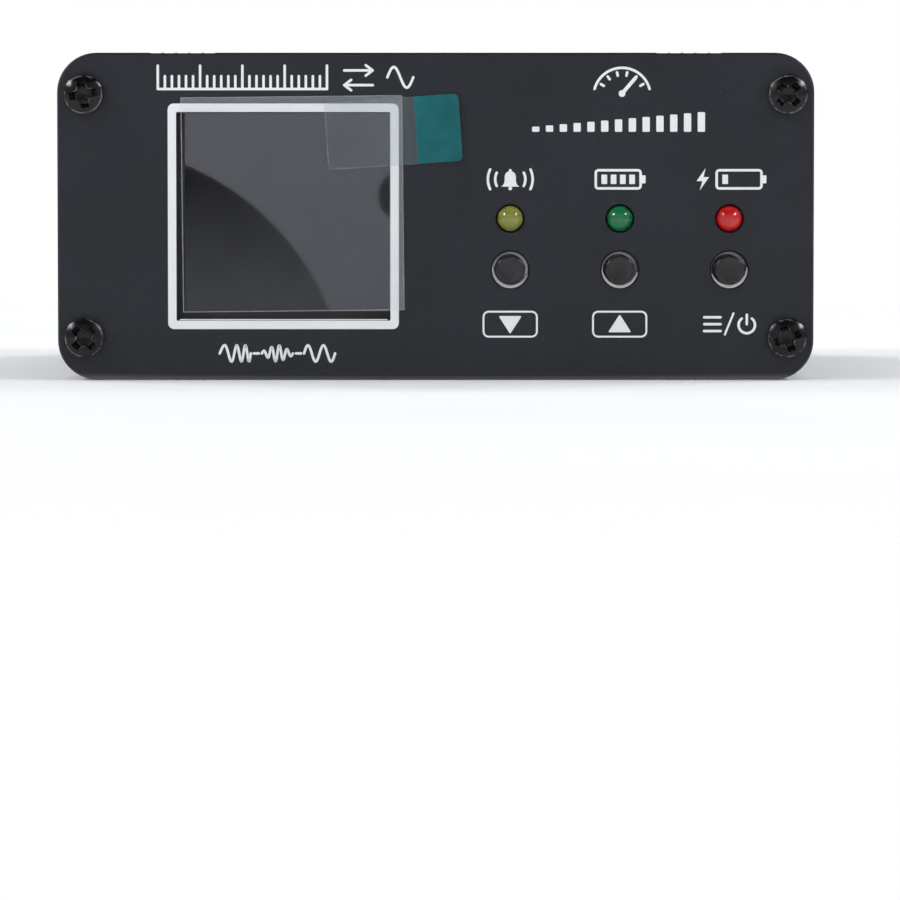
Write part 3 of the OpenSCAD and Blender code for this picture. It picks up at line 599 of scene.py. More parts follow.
@dataclass(frozen=True)
class BoardFinish(Finish):
    """Solder mask over copper tracks: bands of noise show the tracks under it."""

    roughness: float = 0.35
    grain_mm: float = 0.4

    def colours(self, sheet: Sheet) -> NodeSocket:
        """Lighter tracks where a slow noise crosses its middle."""
        slow = sheet.noise(5.0, detail=0, shift=0.4)
        tracks = sheet.join(sheet.spread(slow, (0.47, 0.50), (0, 1)), sheet.spread(slow, (0.52, 0.55), (1, 0)),
                            Rule.PRODUCT)
        return sheet.blend(tracks, super().colours(sheet), self.tone)


SHELL = Finish("anodised_black", (0.012, 0.0125, 0.014), (0.017, 0.0178, 0.02), metallic=0.35, roughness=0.5,
               unevenness=0.02, grain=Grain.LENGTHWISE, grain_mm=0.1, relief_mm=0.002, blotch_mm=24, dust=0.25)
FRONT = PlateFinish("plate_black", (0.0125, 0.0135, 0.0185), (0.020, 0.0215, 0.029), name="front_plate")
REAR = PlateFinish("plate_black", (0.008, 0.0088, 0.014), (0.014, 0.0155, 0.022), name="rear_plate",
                   rubs=((0.0340, 0.0385, 0.0310, 0.0378), (-0.0420, -0.0340, 0.0355, 0.0380),
                         (-0.0378, -0.0352, 0.0045, 0.0085)))
# Screw heads: black with bright edge spots that are partly wear and partly painted glints.
SCREW = BlackWithWearAndGlints("screw_black", (0.003, 0.003, 0.0035), (0.006, 0.006, 0.007), roughness=0.2,
                  grain_mm=0.08, relief_mm=0.002, specular=0.32, bare_and_lit=(0.45, 0.45, 0.46))
INK = Finish("printed_white", (0.86, 0.90, 0.92), (0.95, 0.97, 0.97), roughness=0.55, grain_mm=0.06,
             relief_mm=0.002, name="printed_white")
GLASS = DarkGlass("display_glass", (0.0015, 0.0018, 0.003), (0.003, 0.0033, 0.005), roughness=0.02,
                  unevenness=0.005, grain_mm=5, relief_mm=0.0, specular=0.75)
BLACK_MOULD = Finish("display_black", (0.008, 0.008, 0.009), (0.014, 0.014, 0.015), roughness=0.6, grain_mm=0.1,
                     relief_mm=0.006)
DIFFUSER = Finish("backlight_white", (0.72, 0.74, 0.72), (0.82, 0.83, 0.80), roughness=0.6)
GREEN_BOARD = BoardFinish("board_green", (0.012, 0.075, 0.032), (0.03, 0.13, 0.055))
BLUE_BOARD = BoardFinish("board_blue", (0.01, 0.035, 0.12), (0.02, 0.07, 0.2))
DISPLAY_OPENING = (-0.0301, -0.0053, 0.0069, 0.0311)
# Film and tab: the edge alphas are painted highlights, the alpha outside the opening a painted reflection.
FILM = ClearSheet("film_clear", (0.80, 0.83, 0.88), (0.88, 0.90, 0.93), roughness=0.14, unevenness=0.05,
                  grain_mm=6, relief_mm=0.004, specular=0.6, cover=0.006, edge_highlight=0.22,
                  clear_of=DISPLAY_OPENING, reflection_over_plate=0.10)
TAB_CLEAR = ClearSheet("tab_teal", (0.42, 0.58, 0.62), (0.48, 0.63, 0.66), roughness=0.2, unevenness=0.05,
                       grain_mm=6, relief_mm=0.003, cover=0.022, edge_highlight=0.12, clear_of=DISPLAY_OPENING,
                       reflection_over_plate=0.06, name="tab_clear")
TAB_TEAL = ClearSheet("tab_teal", (0.008, 0.13, 0.145), (0.012, 0.16, 0.175), roughness=0.38, unevenness=0.06,
                      grain_mm=1.5, relief_mm=0.003, specular=0.2, cover=0.93, edge_highlight=0.97)
LAMP_YELLOW = Lens("lamp_yellow", (0.21, 0.22, 0.035), (0.27, 0.28, 0.05))
LAMP_GREEN = Lens("lamp_green", (0.003, 0.13, 0.045), (0.006, 0.18, 0.065))
LAMP_RED = Lens("lamp_red", (0.50, 0.006, 0.006), (0.60, 0.012, 0.012))
TINNED = Finish("tinned", (0.62, 0.61, 0.58), (0.74, 0.73, 0.70), metallic=1.0, roughness=0.3, grain_mm=0.2)
GOLD = Finish("gold", (0.80, 0.50, 0.16), (0.92, 0.64, 0.27), metallic=1.0, roughness=0.2, unevenness=0.07,
              grain_mm=0.15, relief_mm=0.002, blotch_mm=2)
BORE = Finish("gold", (0.85, 0.30, 0.02), (0.95, 0.40, 0.04), metallic=0.35, roughness=0.34, unevenness=0.08,
              grain_mm=0.2, relief_mm=0.003, blotch_mm=1.5, name="contact_bore")
NICKEL = Finish("nickel", (0.60, 0.57, 0.52), (0.78, 0.76, 0.72), metallic=1.0, roughness=0.13, unevenness=0.05,
                grain_mm=0.12, relief_mm=0.002, blotch_mm=3)
PTFE = Finish("insulator_white", (0.94, 0.945, 0.96), (0.97, 0.975, 0.985), roughness=0.42, grain_mm=0.25,
              relief_mm=0.003)
# Pale finish for edges that stand in for lit bare metal: bare metal with a painted highlight.
BARE_AND_LIT = Finish("bare_metal_lit", (0.80, 0.79, 0.78), (0.90, 0.89, 0.87), metallic=0.1, roughness=0.35, grain_mm=0.1,
              relief_mm=0.002, blotch_mm=1.0, name="bare_metal_lit")
KEY_BLACK = Finish("button_black", (0.012, 0.012, 0.013), (0.02, 0.02, 0.022), roughness=0.2,
                   unevenness=0.03, grain_mm=0.2, relief_mm=0.0006, blotch_mm=2, specular=0.42)
# Switch housing black; bright spots on its top corners are painted glints.
SWITCH_BLACK = BlackWithWearAndGlints("switch_black", (0.017, 0.019, 0.025), (0.027, 0.029, 0.037), roughness=0.52,
                         grain_mm=0.16, relief_mm=0.010)
ROCKER_RED = Finish("rocker_red", (0.80, 0.030, 0.016), (0.88, 0.045, 0.026), roughness=0.34, unevenness=0.05,
                    grain_mm=0.1, relief_mm=0.0018, blotch_mm=5)
ROCKER_MARK = Finish("printed_pink", (0.88, 0.50, 0.56), (0.93, 0.60, 0.65), roughness=0.5, name="rocker_mark")
IVORY = Finish("ivory_plastic", (0.72, 0.68, 0.56), (0.80, 0.76, 0.65), roughness=0.45)
COPPER = Finish("copper", (0.62, 0.24, 0.10), (0.78, 0.36, 0.18), metallic=1.0, roughness=0.28, grain_mm=0.2)
FERRITE = Finish("ferrite", (0.03, 0.028, 0.028), (0.06, 0.055, 0.055), roughness=0.7, grain_mm=0.15,
                 relief_mm=0.02)
FOIL = Finish("cell_foil", (0.52, 0.53, 0.55), (0.66, 0.67, 0.69), metallic=0.8, roughness=0.36, grain_mm=1.2,
              relief_mm=0.03)
FOAM = Finish("foam_tape", (0.66, 0.66, 0.63), (0.78, 0.78, 0.75), roughness=0.9, grain_mm=0.3, relief_mm=0.06)
RED_SLEEVE = Finish("lead_sleeve", (0.5, 0.012, 0.01), (0.6, 0.02, 0.016), roughness=0.4, name="red_sleeve")
BLACK_SLEEVE = Finish("lead_sleeve", (0.012, 0.012, 0.012), (0.02, 0.02, 0.02), roughness=0.4,
                      name="black_sleeve")
STEEL = Finish("port_steel", (0.58, 0.57, 0.55), (0.74, 0.73, 0.70), metallic=1.0, roughness=0.24,
               unevenness=0.08, grain_mm=0.15, relief_mm=0.003, blotch_mm=2)

CARRIED: tuple[tuple[Finish, str], ...] = (
    (SHELL, "case_upper case_lower"), (FRONT, "front_plate"), (REAR, "rear_plate"), (GLASS, "display_glass"),
    (BLACK_MOULD, "display_frame display_header switch_base_down switch_base_up switch_base_mode board_header"),
    (BLACK_MOULD, "microcontroller charger_chip buzzer"), (DIFFUSER, "display_backlight"),
    (BLUE_BOARD, "display_board"), (GREEN_BOARD, "front_board main_board"),
    (TINNED, "lamp_leads switch_covers snap_discs rocker_spring rocker_terminals lock_washers ground_lugs"),
    (COPPER, "detector_diodes winding_current winding_voltage coupler_line sample_line contact_lever"),
    (FERRITE, "toroid_current toroid_voltage"), (FOIL, "battery_cell"), (FOAM, "battery_tape"),
    (RED_SLEEVE, "battery_leads"), (BLACK_SLEEVE, "power_wires"), (NICKEL, "socket_nuts"),
    (IVORY, "battery_plug battery_socket rocker_plunger"),
)


def dress(piece: bpy.types.Object, finish: Finish) -> None:
    """Gives every material slot of a piece the finish.

    Args:
        piece: a new piece or a CAD node.
        finish: what it is finished with.
    """
    if not piece.data.materials:
        piece.data.materials.append(finish.material())
    for i in range(len(piece.data.materials)):
        piece.material_slots[i].link = "OBJECT"
        piece.material_slots[i].material = finish.material()


def settle(solid: Solid, name: str, face: Face, finish: Finish, *nodes: str, body: str = CASE,
           crease: float = 32.0, slot: str = "") -> None:
    """Makes a solid into a dressed piece that rides on its body and stands for its CAD nodes.

    Args:
        solid: its shape.
        name: its name.
        face: the face that the solid was drawn on.
        finish: its finish.
        nodes: CAD nodes that it stands for.
        body: the CAD body that it moves with.
        crease: edges turning more than this many degrees stay sharp.
        slot: not used.
    """
    piece = solid.make(name, face, crease)
    dress(piece, finish)
    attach(piece, body)
    if nodes:
        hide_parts(*nodes)
    LOG.info("%s: %d faces on %s", name, len(piece.data.polygons), body)


# ---------- printing ----------


class Wave(Enum):
    """How a printed wave changes along its length, and how many cycles show it."""

    PLAIN = 2
    SWELLING = 4
    SWEEPING = 3


class Ink:
    """White printing on a plate: strokes and filled shapes as thin closed solids."""

    FOOT = -0.01
    TOP = 0.022
    STEP = 0.0002

    def __init__(self, solid: Solid, weight: float) -> None:
        """Starts printing onto a solid with strokes of one width in mm."""
        self.solid = solid
        self.weight = weight
        self.top = self.TOP

    def level(self) -> float:
        """A top a hair higher at each stroke, so that crossing strokes never share a face."""
        self.top += self.STEP
        return self.top

    def stroke(self, path: Array, weight: float = 0.0, hoop: bool = False) -> None:
        """A ribbon: each path point moved half the width to both sides, the half-width falling to
        nothing as the square root of 1 - s^2 past each end, so that the ends are round.

        Args:
            path: (k, 2) points in mm.
            weight: width, or 0 for the usual one.
            hoop: whether the path is closed.
        """
        path = np.asarray(path, float)
        half = (weight or self.weight) / 2
        if hoop:
            along = np.roll(path, -1, axis=0) - np.roll(path, 1, axis=0)
            width = np.full(len(path), half)
        else:
            s = np.array([0.98, 0.8, 0.45])
            first, last = path[0] - path[1], path[-1] - path[-2]
            first, last = first / np.linalg.norm(first), last / np.linalg.norm(last)
            head = path[0] + first * (half * s)[:, None]
            tail = path[-1] + last * (half * s[::-1])[:, None]
            cap = half * np.sqrt(1 - s**2)
            width = np.concatenate([cap, np.full(len(path), half), cap[::-1]])
            path = np.concatenate([head, path, tail])
            along = np.gradient(path, axis=0)
        along /= np.linalg.norm(along, axis=1, keepdims=True)
        side = np.stack([-along[:, 1], along[:, 0]], -1) * width[:, None]
        left, right = path + side, path - side
        low, high = (np.full((len(path), 1), level) for level in (self.FOOT, self.level()))
        rings = np.stack([np.c_[left, low], np.c_[left, high], np.c_[right, high], np.c_[right, low]], 1)
        self.solid.skin(rings, hoop=hoop)

    def fill(self, outline: Array) -> None:
        """A filled shape: its outline at the plate and again at the ink's top.

        Args:
            outline: (k, 2) points in mm, either way round.
        """
        outline = np.asarray(outline, float)
        x, y = outline.T
        if np.sum(x * np.roll(y, -1) - y * np.roll(x, -1)) < 0:
            outline = outline[::-1]
        self.solid.skin(np.stack([np.c_[outline, np.full(len(outline), z)] for z in (self.FOOT, self.level())]))

    def disc(self, x: float, y: float, radius: float) -> None:
        """A filled round dot."""
        self.fill(circle(radius, 20) + [x, y])

    def line(self, *points: Span, weight: float = 0.0) -> None:
        """A straight or bent stroke through the points."""
        path = np.asarray(points, float)
        if len(path) > 2:
            path = soften(path, self.weight * 0.5, closed=False)
        self.stroke(path, weight)

    def ring(self, x: float, y: float, radius: float, weight: float = 0.0) -> None:
        """A circle."""
        self.stroke(circle(radius, 40) + [x, y], weight, hoop=True)

    def frame(self, at: Span, inner: Span, outer: Span, radius: float) -> None:
        """A printed frame between two round-cornered rectangles.

        Args:
            at: its middle.
            inner: width and height inside.
            outer: width and height outside.
            radius: outer corner radius.
        """
        top = self.level()
        inside = max(radius - (outer[0] - inner[0]) / 2, 0.15)
        self.solid.loft([(*outer, radius, self.FOOT), (*outer, radius, top), (*inner, inside, top),
                         (*inner, inside, self.FOOT)], at, hoop=True)

    # generic signs

    def power(self, x: float, y: float, radius: float) -> None:
        """The on-off sign: a circle open at the top with an upright bar in the gap."""
        self.stroke(arc((x, y), radius, 128, 412, 36))
        self.line((x, y + radius * 0.1), (x, y + radius * 1.25))

    def wave(self, x0: float, x1: float, y: float, height: float, cycles: float = 1,
             kind: Wave = Wave.PLAIN) -> None:
        """A wave y + h/2 sin(2 pi c u), u from 0 to 1.

        A swelling wave's height is multiplied by 0.3 + 0.7 sin^2(pi u), and a sweeping one's phase
        grows as 0.45 u + 0.55 u^2.

        Args:
            x0: left end.
            x1: right end.
            y: middle height.
            height: full height.
            cycles: how many waves.
            kind: how it changes along its length.
        """
        u = np.linspace(0, 1, int(26 * cycles))
        phase = 0.45 * u + 0.55 * u**2 if kind is Wave.SWEEPING else u
        size = 0.3 + 0.7 * np.sin(np.pi * u) ** 2 if kind is Wave.SWELLING else np.ones_like(u)
        self.stroke(np.c_[x0 + (x1 - x0) * u, y + height / 2 * size * np.sin(2 * np.pi * cycles * phase)])

    def scale(self, x0: float, x1: float, y: float, height: float, steps: int, major: int) -> None:
        """A dial scale laid straight: a base line with ticks, every so many taller.

        Args:
            x0: left end.
            x1: right end.
            y: base line.
            height: height of a tall tick.
            steps: how many spaces.
            major: a tall tick at every this many.
        """
        self.line((x0, y), (x1, y))
        for i in range(steps + 1):
            x = x0 + (x1 - x0) * i / steps
            self.line((x, y), (x, y + height * (1.0 if i % major == 0 else 0.55)))

    def arrow(self, x0: float, x1: float, y: float, head: float) -> None:
        """An arrow from x0 to x1."""
        back = math.copysign(head, x0 - x1)
        self.line((x0, y), (x1, y))
        self.line((x1 + back, y + head * 0.75), (x1, y), (x1 + back, y - head * 0.75))

    def swap(self, x0: float, x1: float, y: float, drop: float, head: float) -> None:
        """Two arrows, one above the other, that point against each other."""
        self.arrow(x0, x1, y, head)
        self.arrow(x1, x0, y - drop, head)

    def modes(self, x: float, pitch: float, width: float, y: float, height: float) -> None:
        """Three modulated waves in a row.

        Args:
            x: left end of the first.
            pitch: from one to the next.
            width: length of each.
            y: middle height.
            height: full height.
        """
        for kind in (Wave.SWEEPING, Wave.SWELLING, Wave.PLAIN):
            self.wave(x, x + width, y, height, kind.value, kind)
            x += pitch

    def battery(self, x: float, y: float, width: float, height: float, bars: int) -> None:
        """A battery outline with its cap and filled bars."""
        self.stroke(box_loop(width, height, 0.3, 5) + [x, y], hoop=True)
        self.fill(box_loop(0.45, height * 0.45, 0.1, 3) + [x + width / 2 + 0.35, y])
        pitch = (width - 0.9) / 4
        for i in range(bars):
            at = [x - width / 2 + 0.45 + pitch * (i + 0.5), y]
            self.fill(box_loop(pitch * 0.62, height - 1.0, 0.05, 2) + at)

    def bolt(self, x: float, y: float, height: float) -> None:
        """A spark: a slim zigzag filled shape."""
        shape = np.array([[0.12, 0.5], [-0.28, -0.08], [-0.02, -0.08], [-0.14, -0.5], [0.28, 0.1], [0.03, 0.1]])
        self.fill(shape * height + [x, y])

    def bell(self, x: float, y: float, height: float) -> None:
        """A bell: half width 0.26 + 0.16 s^4 of the height, s from 0 to 1 down it, under a round crown."""
        s = np.linspace(0, 1, 12)
        half = height * (0.26 + 0.16 * s**4)
        crown = arc((0, height * 0.12), height * 0.26, 165, 15, 12)
        side = np.c_[half, height * (0.12 - 0.46 * s)]
        self.fill(np.concatenate([crown, side, side[::-1] * [-1, 1]]) + [x, y])
        self.disc(x, y - height * 0.42, height * 0.09)
        self.disc(x, y + height * 0.41, height * 0.07)

    def gauge(self, x: float, y: float, radius: float) -> None:
        """A meter: a half circle with ticks inside it and a slanting needle."""
        self.stroke(arc((x, y), radius, 165, 15, 30))
        for a in range(30, 151, 24):
            self.stroke(np.stack([arc((x, y), radius * k, a, a, 1)[0] for k in (0.74, 0.86)]))
        hub = y + radius * 0.1
        self.stroke(np.stack([[x, hub], arc((x, y), radius * 0.8, 54, 54, 1)[0]]), self.weight * 1.4)
        self.disc(x, hub, radius * 0.12)

    def antenna(self, x: float, y: float, height: float) -> None:
        """The circuit sign of an antenna: a mast with two arms, and waves on both sides."""
        self.line((x, y - height / 2), (x, y + height / 2))
        for s in SIDES:
            self.line((x, y), (x + s * height * 0.36, y + height / 2))
            for k in (0.62, 0.92, 1.22):
                middle = 90 - 90 * s
                self.stroke(arc((x, y + height * 0.3), height * k, middle - 24, middle + 24, 12))

    def source(self, x: float, y: float, radius: float) -> None:
        """The circuit sign of a signal source: a wave in a circle, with an arrow in from the left."""
        self.ring(x, y, radius)
        self.wave(x - radius * 0.55, x + radius * 0.55, y, radius * 0.8)
        self.arrow(x - radius * 2.6, x - radius * 1.25, y, radius * 0.45)

    def direct_current(self, x: float, y: float, width: float) -> None:
        """The direct current sign: a long bar over three short ones."""
        self.line((x - width / 2, y + 0.35), (x + width / 2, y + 0.35))
        for k in (-0.39, 0.0, 0.39):
            self.line((x + (k - 0.09) * width, y - 0.45), (x + (k + 0.09) * width, y - 0.45))


# ---------- sub-assemblies ----------


@dataclass
class CarriedParts:
    """CAD pieces whose shape is right already and that only need their finish."""

    nodes: dict[str, bpy.types.Object]

    def build(self) -> None:
        """Dresses each carried node."""
        for finish, names in CARRIED:
            for name in names.split():
                dress(self.nodes[name], finish)
            LOG.info("%s: %s", finish.slot, names)


@dataclass
class Screws:
    """Pan-head screws of one plate, with a cross recess in each head."""

    node: str
    face: Face
    turns: tuple[float, float, float, float]
    head_d: float = 4.6
    head_h: float = 1.7
    dome: float = 0.8
    recess: float = 1.05
    arm: float = 1.58
    arm_w: float = 0.44
    flat_share: float = 0.68
    cells: int = 73
    thread_d: float = 2.5
    thread_pitch: float = 0.45
    thread_depth: float = 0.13
    tip_r: float = 0.7

    def into_arms(self, along: Array, aside: Array) -> Array:
        """How far each point lies inside the two arms along one way, in mm; below 0 outside them."""
        flare = self.arm_w + 0.30 * np.exp(-((3 * along / (self.head_d / 2)) ** 2))
        return np.minimum(flare - np.abs(aside), (self.arm - np.abs(along)) * 0.6)

    def head_grid(self) -> tuple[Array, Array]:
        """Square grid bent to a disc at its rim, with the dome, the cross recess and its edges, partly worn and
        partly painted with glints.

        A point stays put while the larger of |x|, |y| is under 0.68 of the radius and is then drawn
        towards the circle of the same size. An arm's half width is w + 0.3 exp(-(3p)^2) at p radii
        along it, so the four lands between the arms have rounded inner corners. The depth rises
        over 0.11 mm inside that outline and a cone deepens the middle.

        Returns:
            (n, n, 3) points and (n, n) wear with painted glints, highest on the recess's inner corners and
            round the rim.
        """
        radius = self.head_d / 2
        u = np.linspace(-1, 1, self.cells)
        gx, gy = np.meshgrid(u, u, indexing="ij")
        square = np.maximum(np.abs(gx), np.abs(gy))
        draw = np.clip((square - self.flat_share) / (1 - self.flat_share), 0, 1)
        draw = draw * draw * (3 - 2 * draw)
        factor = 1 + draw * (square / np.maximum(np.hypot(gx, gy), 1e-9) - 1)
        x, y = gx * factor * radius, gy * factor * radius
        rr = np.hypot(x, y) / radius
        within = np.maximum(self.into_arms(x, y), self.into_arms(y, x))
        cross = np.clip(within / 0.11, 0, 1)
        cone = 0.35 * np.clip(1 - np.hypot(x, y) / 0.8, 0, 1)
        z = self.head_h - self.dome * rr**2 - cross * (self.recess + cone)
        # Painted glints on the recess's inner corners, fading towards the arms' ends; partly real wear.
        edge = np.exp(-((within / 0.05) ** 2)) * np.clip(1.6 - np.hypot(x, y) / 0.9, 0, 1)
        # Painted glint in a thin ring round the head's rim.
        rim = np.exp(-(((rr - 0.93) / 0.03) ** 2)) * 0.35
        return np.stack([x, y, z], -1), np.maximum(edge, rim)

    def build(self) -> None:
        """Four heads and shanks as one piece, placed at the corners of the CAD node's box."""
        low, high = (self.face.find(c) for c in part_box(self.node))
        reach = np.abs(high - low) / 2 - self.head_d / 2
        thread = self.thread_profile(self.head_h - abs(high[2] - low[2]))
        grid, wear_and_glint = self.head_grid()
        solid = Solid()
        corners = [(-1, -1), (-1, 1), (1, -1), (1, 1)]
        for (sx, sy), turn in zip(corners, self.turns):
            c, s = cos_sin(turn)
            spin = np.array([[c, s, 0], [-s, c, 0], [0, 0, 1]])
            at = np.array([sx * reach[0], sy * reach[1], 0])
            self.add_head(solid, grid @ spin + at, wear_and_glint, at)
            solid.turn(thread, 20, at)
        settle(solid, self.node + "_visual", self.face, SCREW, self.node, crease=40)

    def add_head(self, solid: Solid, grid: Array, wear_and_glint: Array, at: Array) -> None:
        """Adds the domed top and, round its rim, the side and the underside.

        Args:
            solid: what gathers the faces.
            grid: (n, n, 3) top surface.
            wear_and_glint: (n, n) wear and painted glint.
            at: middle of the head.
        """
        index = solid.add(grid, wear_and_glint)
        quads = np.stack([index[:-1, :-1], index[1:, :-1], index[1:, 1:], index[:-1, 1:]], -1)
        solid.faces += quads.reshape(-1, 4).tolist()
        rim = border(grid)[:, :2] - at[:2]
        side = solid.add(np.stack([np.c_[at[:2] + rim * share, np.full(len(rim), level)]
                                   for share, level in ((1.0, 0.12), (0.985, 0.0))]))
        solid.faces += quads_between(np.vstack([border(index), side])[::-1])
        solid.faces.append(side[-1, ::-1].tolist())

    def thread_profile(self, tail: float) -> Array:
        """Zigzag of crests and roots down the shank, as (radius, height) going up.

        Args:
            tail: level of the screw's end.

        Returns:
            (m, 2) profile.
        """
        z = np.arange(tail + 0.4, -1.6, self.thread_pitch / 2)
        r = self.thread_d / 2 - self.thread_depth * (1 + np.cos(2 * np.pi * z / self.thread_pitch)) / 2
        return np.concatenate([[[self.tip_r, tail]], np.c_[r, z], [[self.thread_d / 2, 0.05]]])


@dataclass
class FrontPrint:
    """White signs on the front plate, where the maker's lettering would be."""

    face: Face
    weight: float = 0.30
    frame_in: Span = (24.85, 24.2)
    frame_out: Span = (26.8, 26.15)
    window_x: float = -17.68
    frame_r: float = 0.7
    lamp_labels_y: float = 4.3
    key_labels_y: float = -12.5
    mode_row_y: float = -15.9
    bars: int = 13
    bar_pitch: float = 1.6
    bar_grow: float = 0.14

    def build(self) -> None:
        """Prints the display frame, a dial scale, lamp signs, key signs and wave signs."""
        columns = [self.face.middle_of(n)[0] for n in ("lamp_alert", "lamp_full", "lamp_charge")]
        ink = Ink(Solid(), self.weight)
        ink.frame((self.window_x, 0), self.frame_in, self.frame_out, self.frame_r)
        ink.scale(-32.2, -12.6, 14.75, 2.7, 24, 6)
        ink.swap(-10.6, -7.3, 16.9, 1.7, 0.8)
        ink.wave(-5.6, -2.6, 16.1, 2.4)
        ink.gauge(21.6, 13.9, 3.3)
        for i in range(self.bars):
            height = 0.6 + self.bar_grow * i
            at = [11.6 + i * self.bar_pitch, 9.8 + height / 2]
            ink.fill(box_loop(0.85, height, 0.08, 2) + at)
        self.lamp_signs(ink, columns)
        self.key_signs(ink, columns)
        y = self.mode_row_y
        ink.modes(-25.1, 4.9, 3.6, y, 1.9)
        for x in (-20.85, -15.95):
            ink.line((x - 0.3, y), (x + 0.3, y))
        settle(ink.solid, "front_print", self.face, INK, crease=50, slot="plate_black")

    def lamp_signs(self, ink: Ink, columns: list[float]) -> None:
        """Bell, full battery, and battery with a spark, over the lamps."""
        y = self.lamp_labels_y
        ink.bell(columns[0], y, 2.5)
        for middle in (180, 0):
            for r in (1.75, 2.6):
                ink.stroke(arc((columns[0], y), r, middle - 26, middle + 26, 10))
        ink.battery(columns[1] - 0.2, y, 5.2, 2.1, 4)
        ink.battery(columns[2] + 1.1, y, 5.2, 2.1, 1)
        ink.bolt(columns[2] - 3.1, y, 2.6)

    def key_signs(self, ink: Ink, columns: list[float]) -> None:
        """Triangle down, triangle up, and a list with the on-off sign, under the keys."""
        y = self.key_labels_y
        for x, s in ((columns[0], -1), (columns[1], 1)):
            ink.fill(soften(np.array([[-1.35, -0.95 * s], [1.35, -0.95 * s], [0, 1.15 * s]]), 0.2) + [x, y])
        for x in columns[:2]:
            ink.stroke(box_loop(6.2, 2.9, 0.6, 6) + [x, y], 0.22, hoop=True)
        x = columns[2]
        for k in (-0.8, 0.0, 0.8):
            ink.line((x - 2.9, y + k), (x - 1.0, y + k))
        ink.line((x - 0.5, y - 1.2), (x + 0.5, y + 1.25), weight=0.24)
        ink.power(x + 2.05, y - 0.1, 0.95)


@dataclass
class RearPrint:
    """White signs on the rear plate."""

    face: Face
    weight: float = 0.34
    fine: float = 0.2
    medium: float = 0.26
    socket_signs_y: float = 6.2
    port_signs_y: float = -4.8
    switch_sign_y: float = -6.75

    def build(self) -> None:
        """Prints a dial scale, small waves, and the signs of the two sockets, the port and the switch."""
        antenna, transmitter, port, rocker = (self.face.middle_of(name)[0] for name in (
            "contact_antenna", "contact_transmitter", "usb_shell", "rocker_housing"))
        ink = Ink(Solid(), self.weight)
        ink.scale(-26.6, 4.4, 11.7, 3.2, 30, 5)
        ink.swap(6.6, 10.4, 14.3, 2.1, 0.95)
        ink.wave(12.6, 16.6, 13.2, 2.9)
        ink.weight = self.fine
        ink.modes(19.2, 4.5, 3.4, 12.5, 1.4)
        ink.weight = self.weight
        ink.antenna(antenna, self.socket_signs_y, 3.3)
        ink.source(transmitter + 1.0, self.socket_signs_y, 1.65)
        ink.weight = self.medium
        y = self.port_signs_y
        ink.direct_current(port - 1.8, y, 3.4)
        ink.line((port + 0.7, y - 1.1), (port + 1.5, y + 1.1), weight=0.22)
        ink.bolt(port + 2.9, y, 2.4)
        ink.power(rocker, self.switch_sign_y, 0.95)
        for s in SIDES:
            ink.line((rocker + s * 2.0, self.switch_sign_y), (rocker + s * 3.3, self.switch_sign_y))
        settle(ink.solid, "rear_print", self.face, INK, crease=50, slot="plate_black")


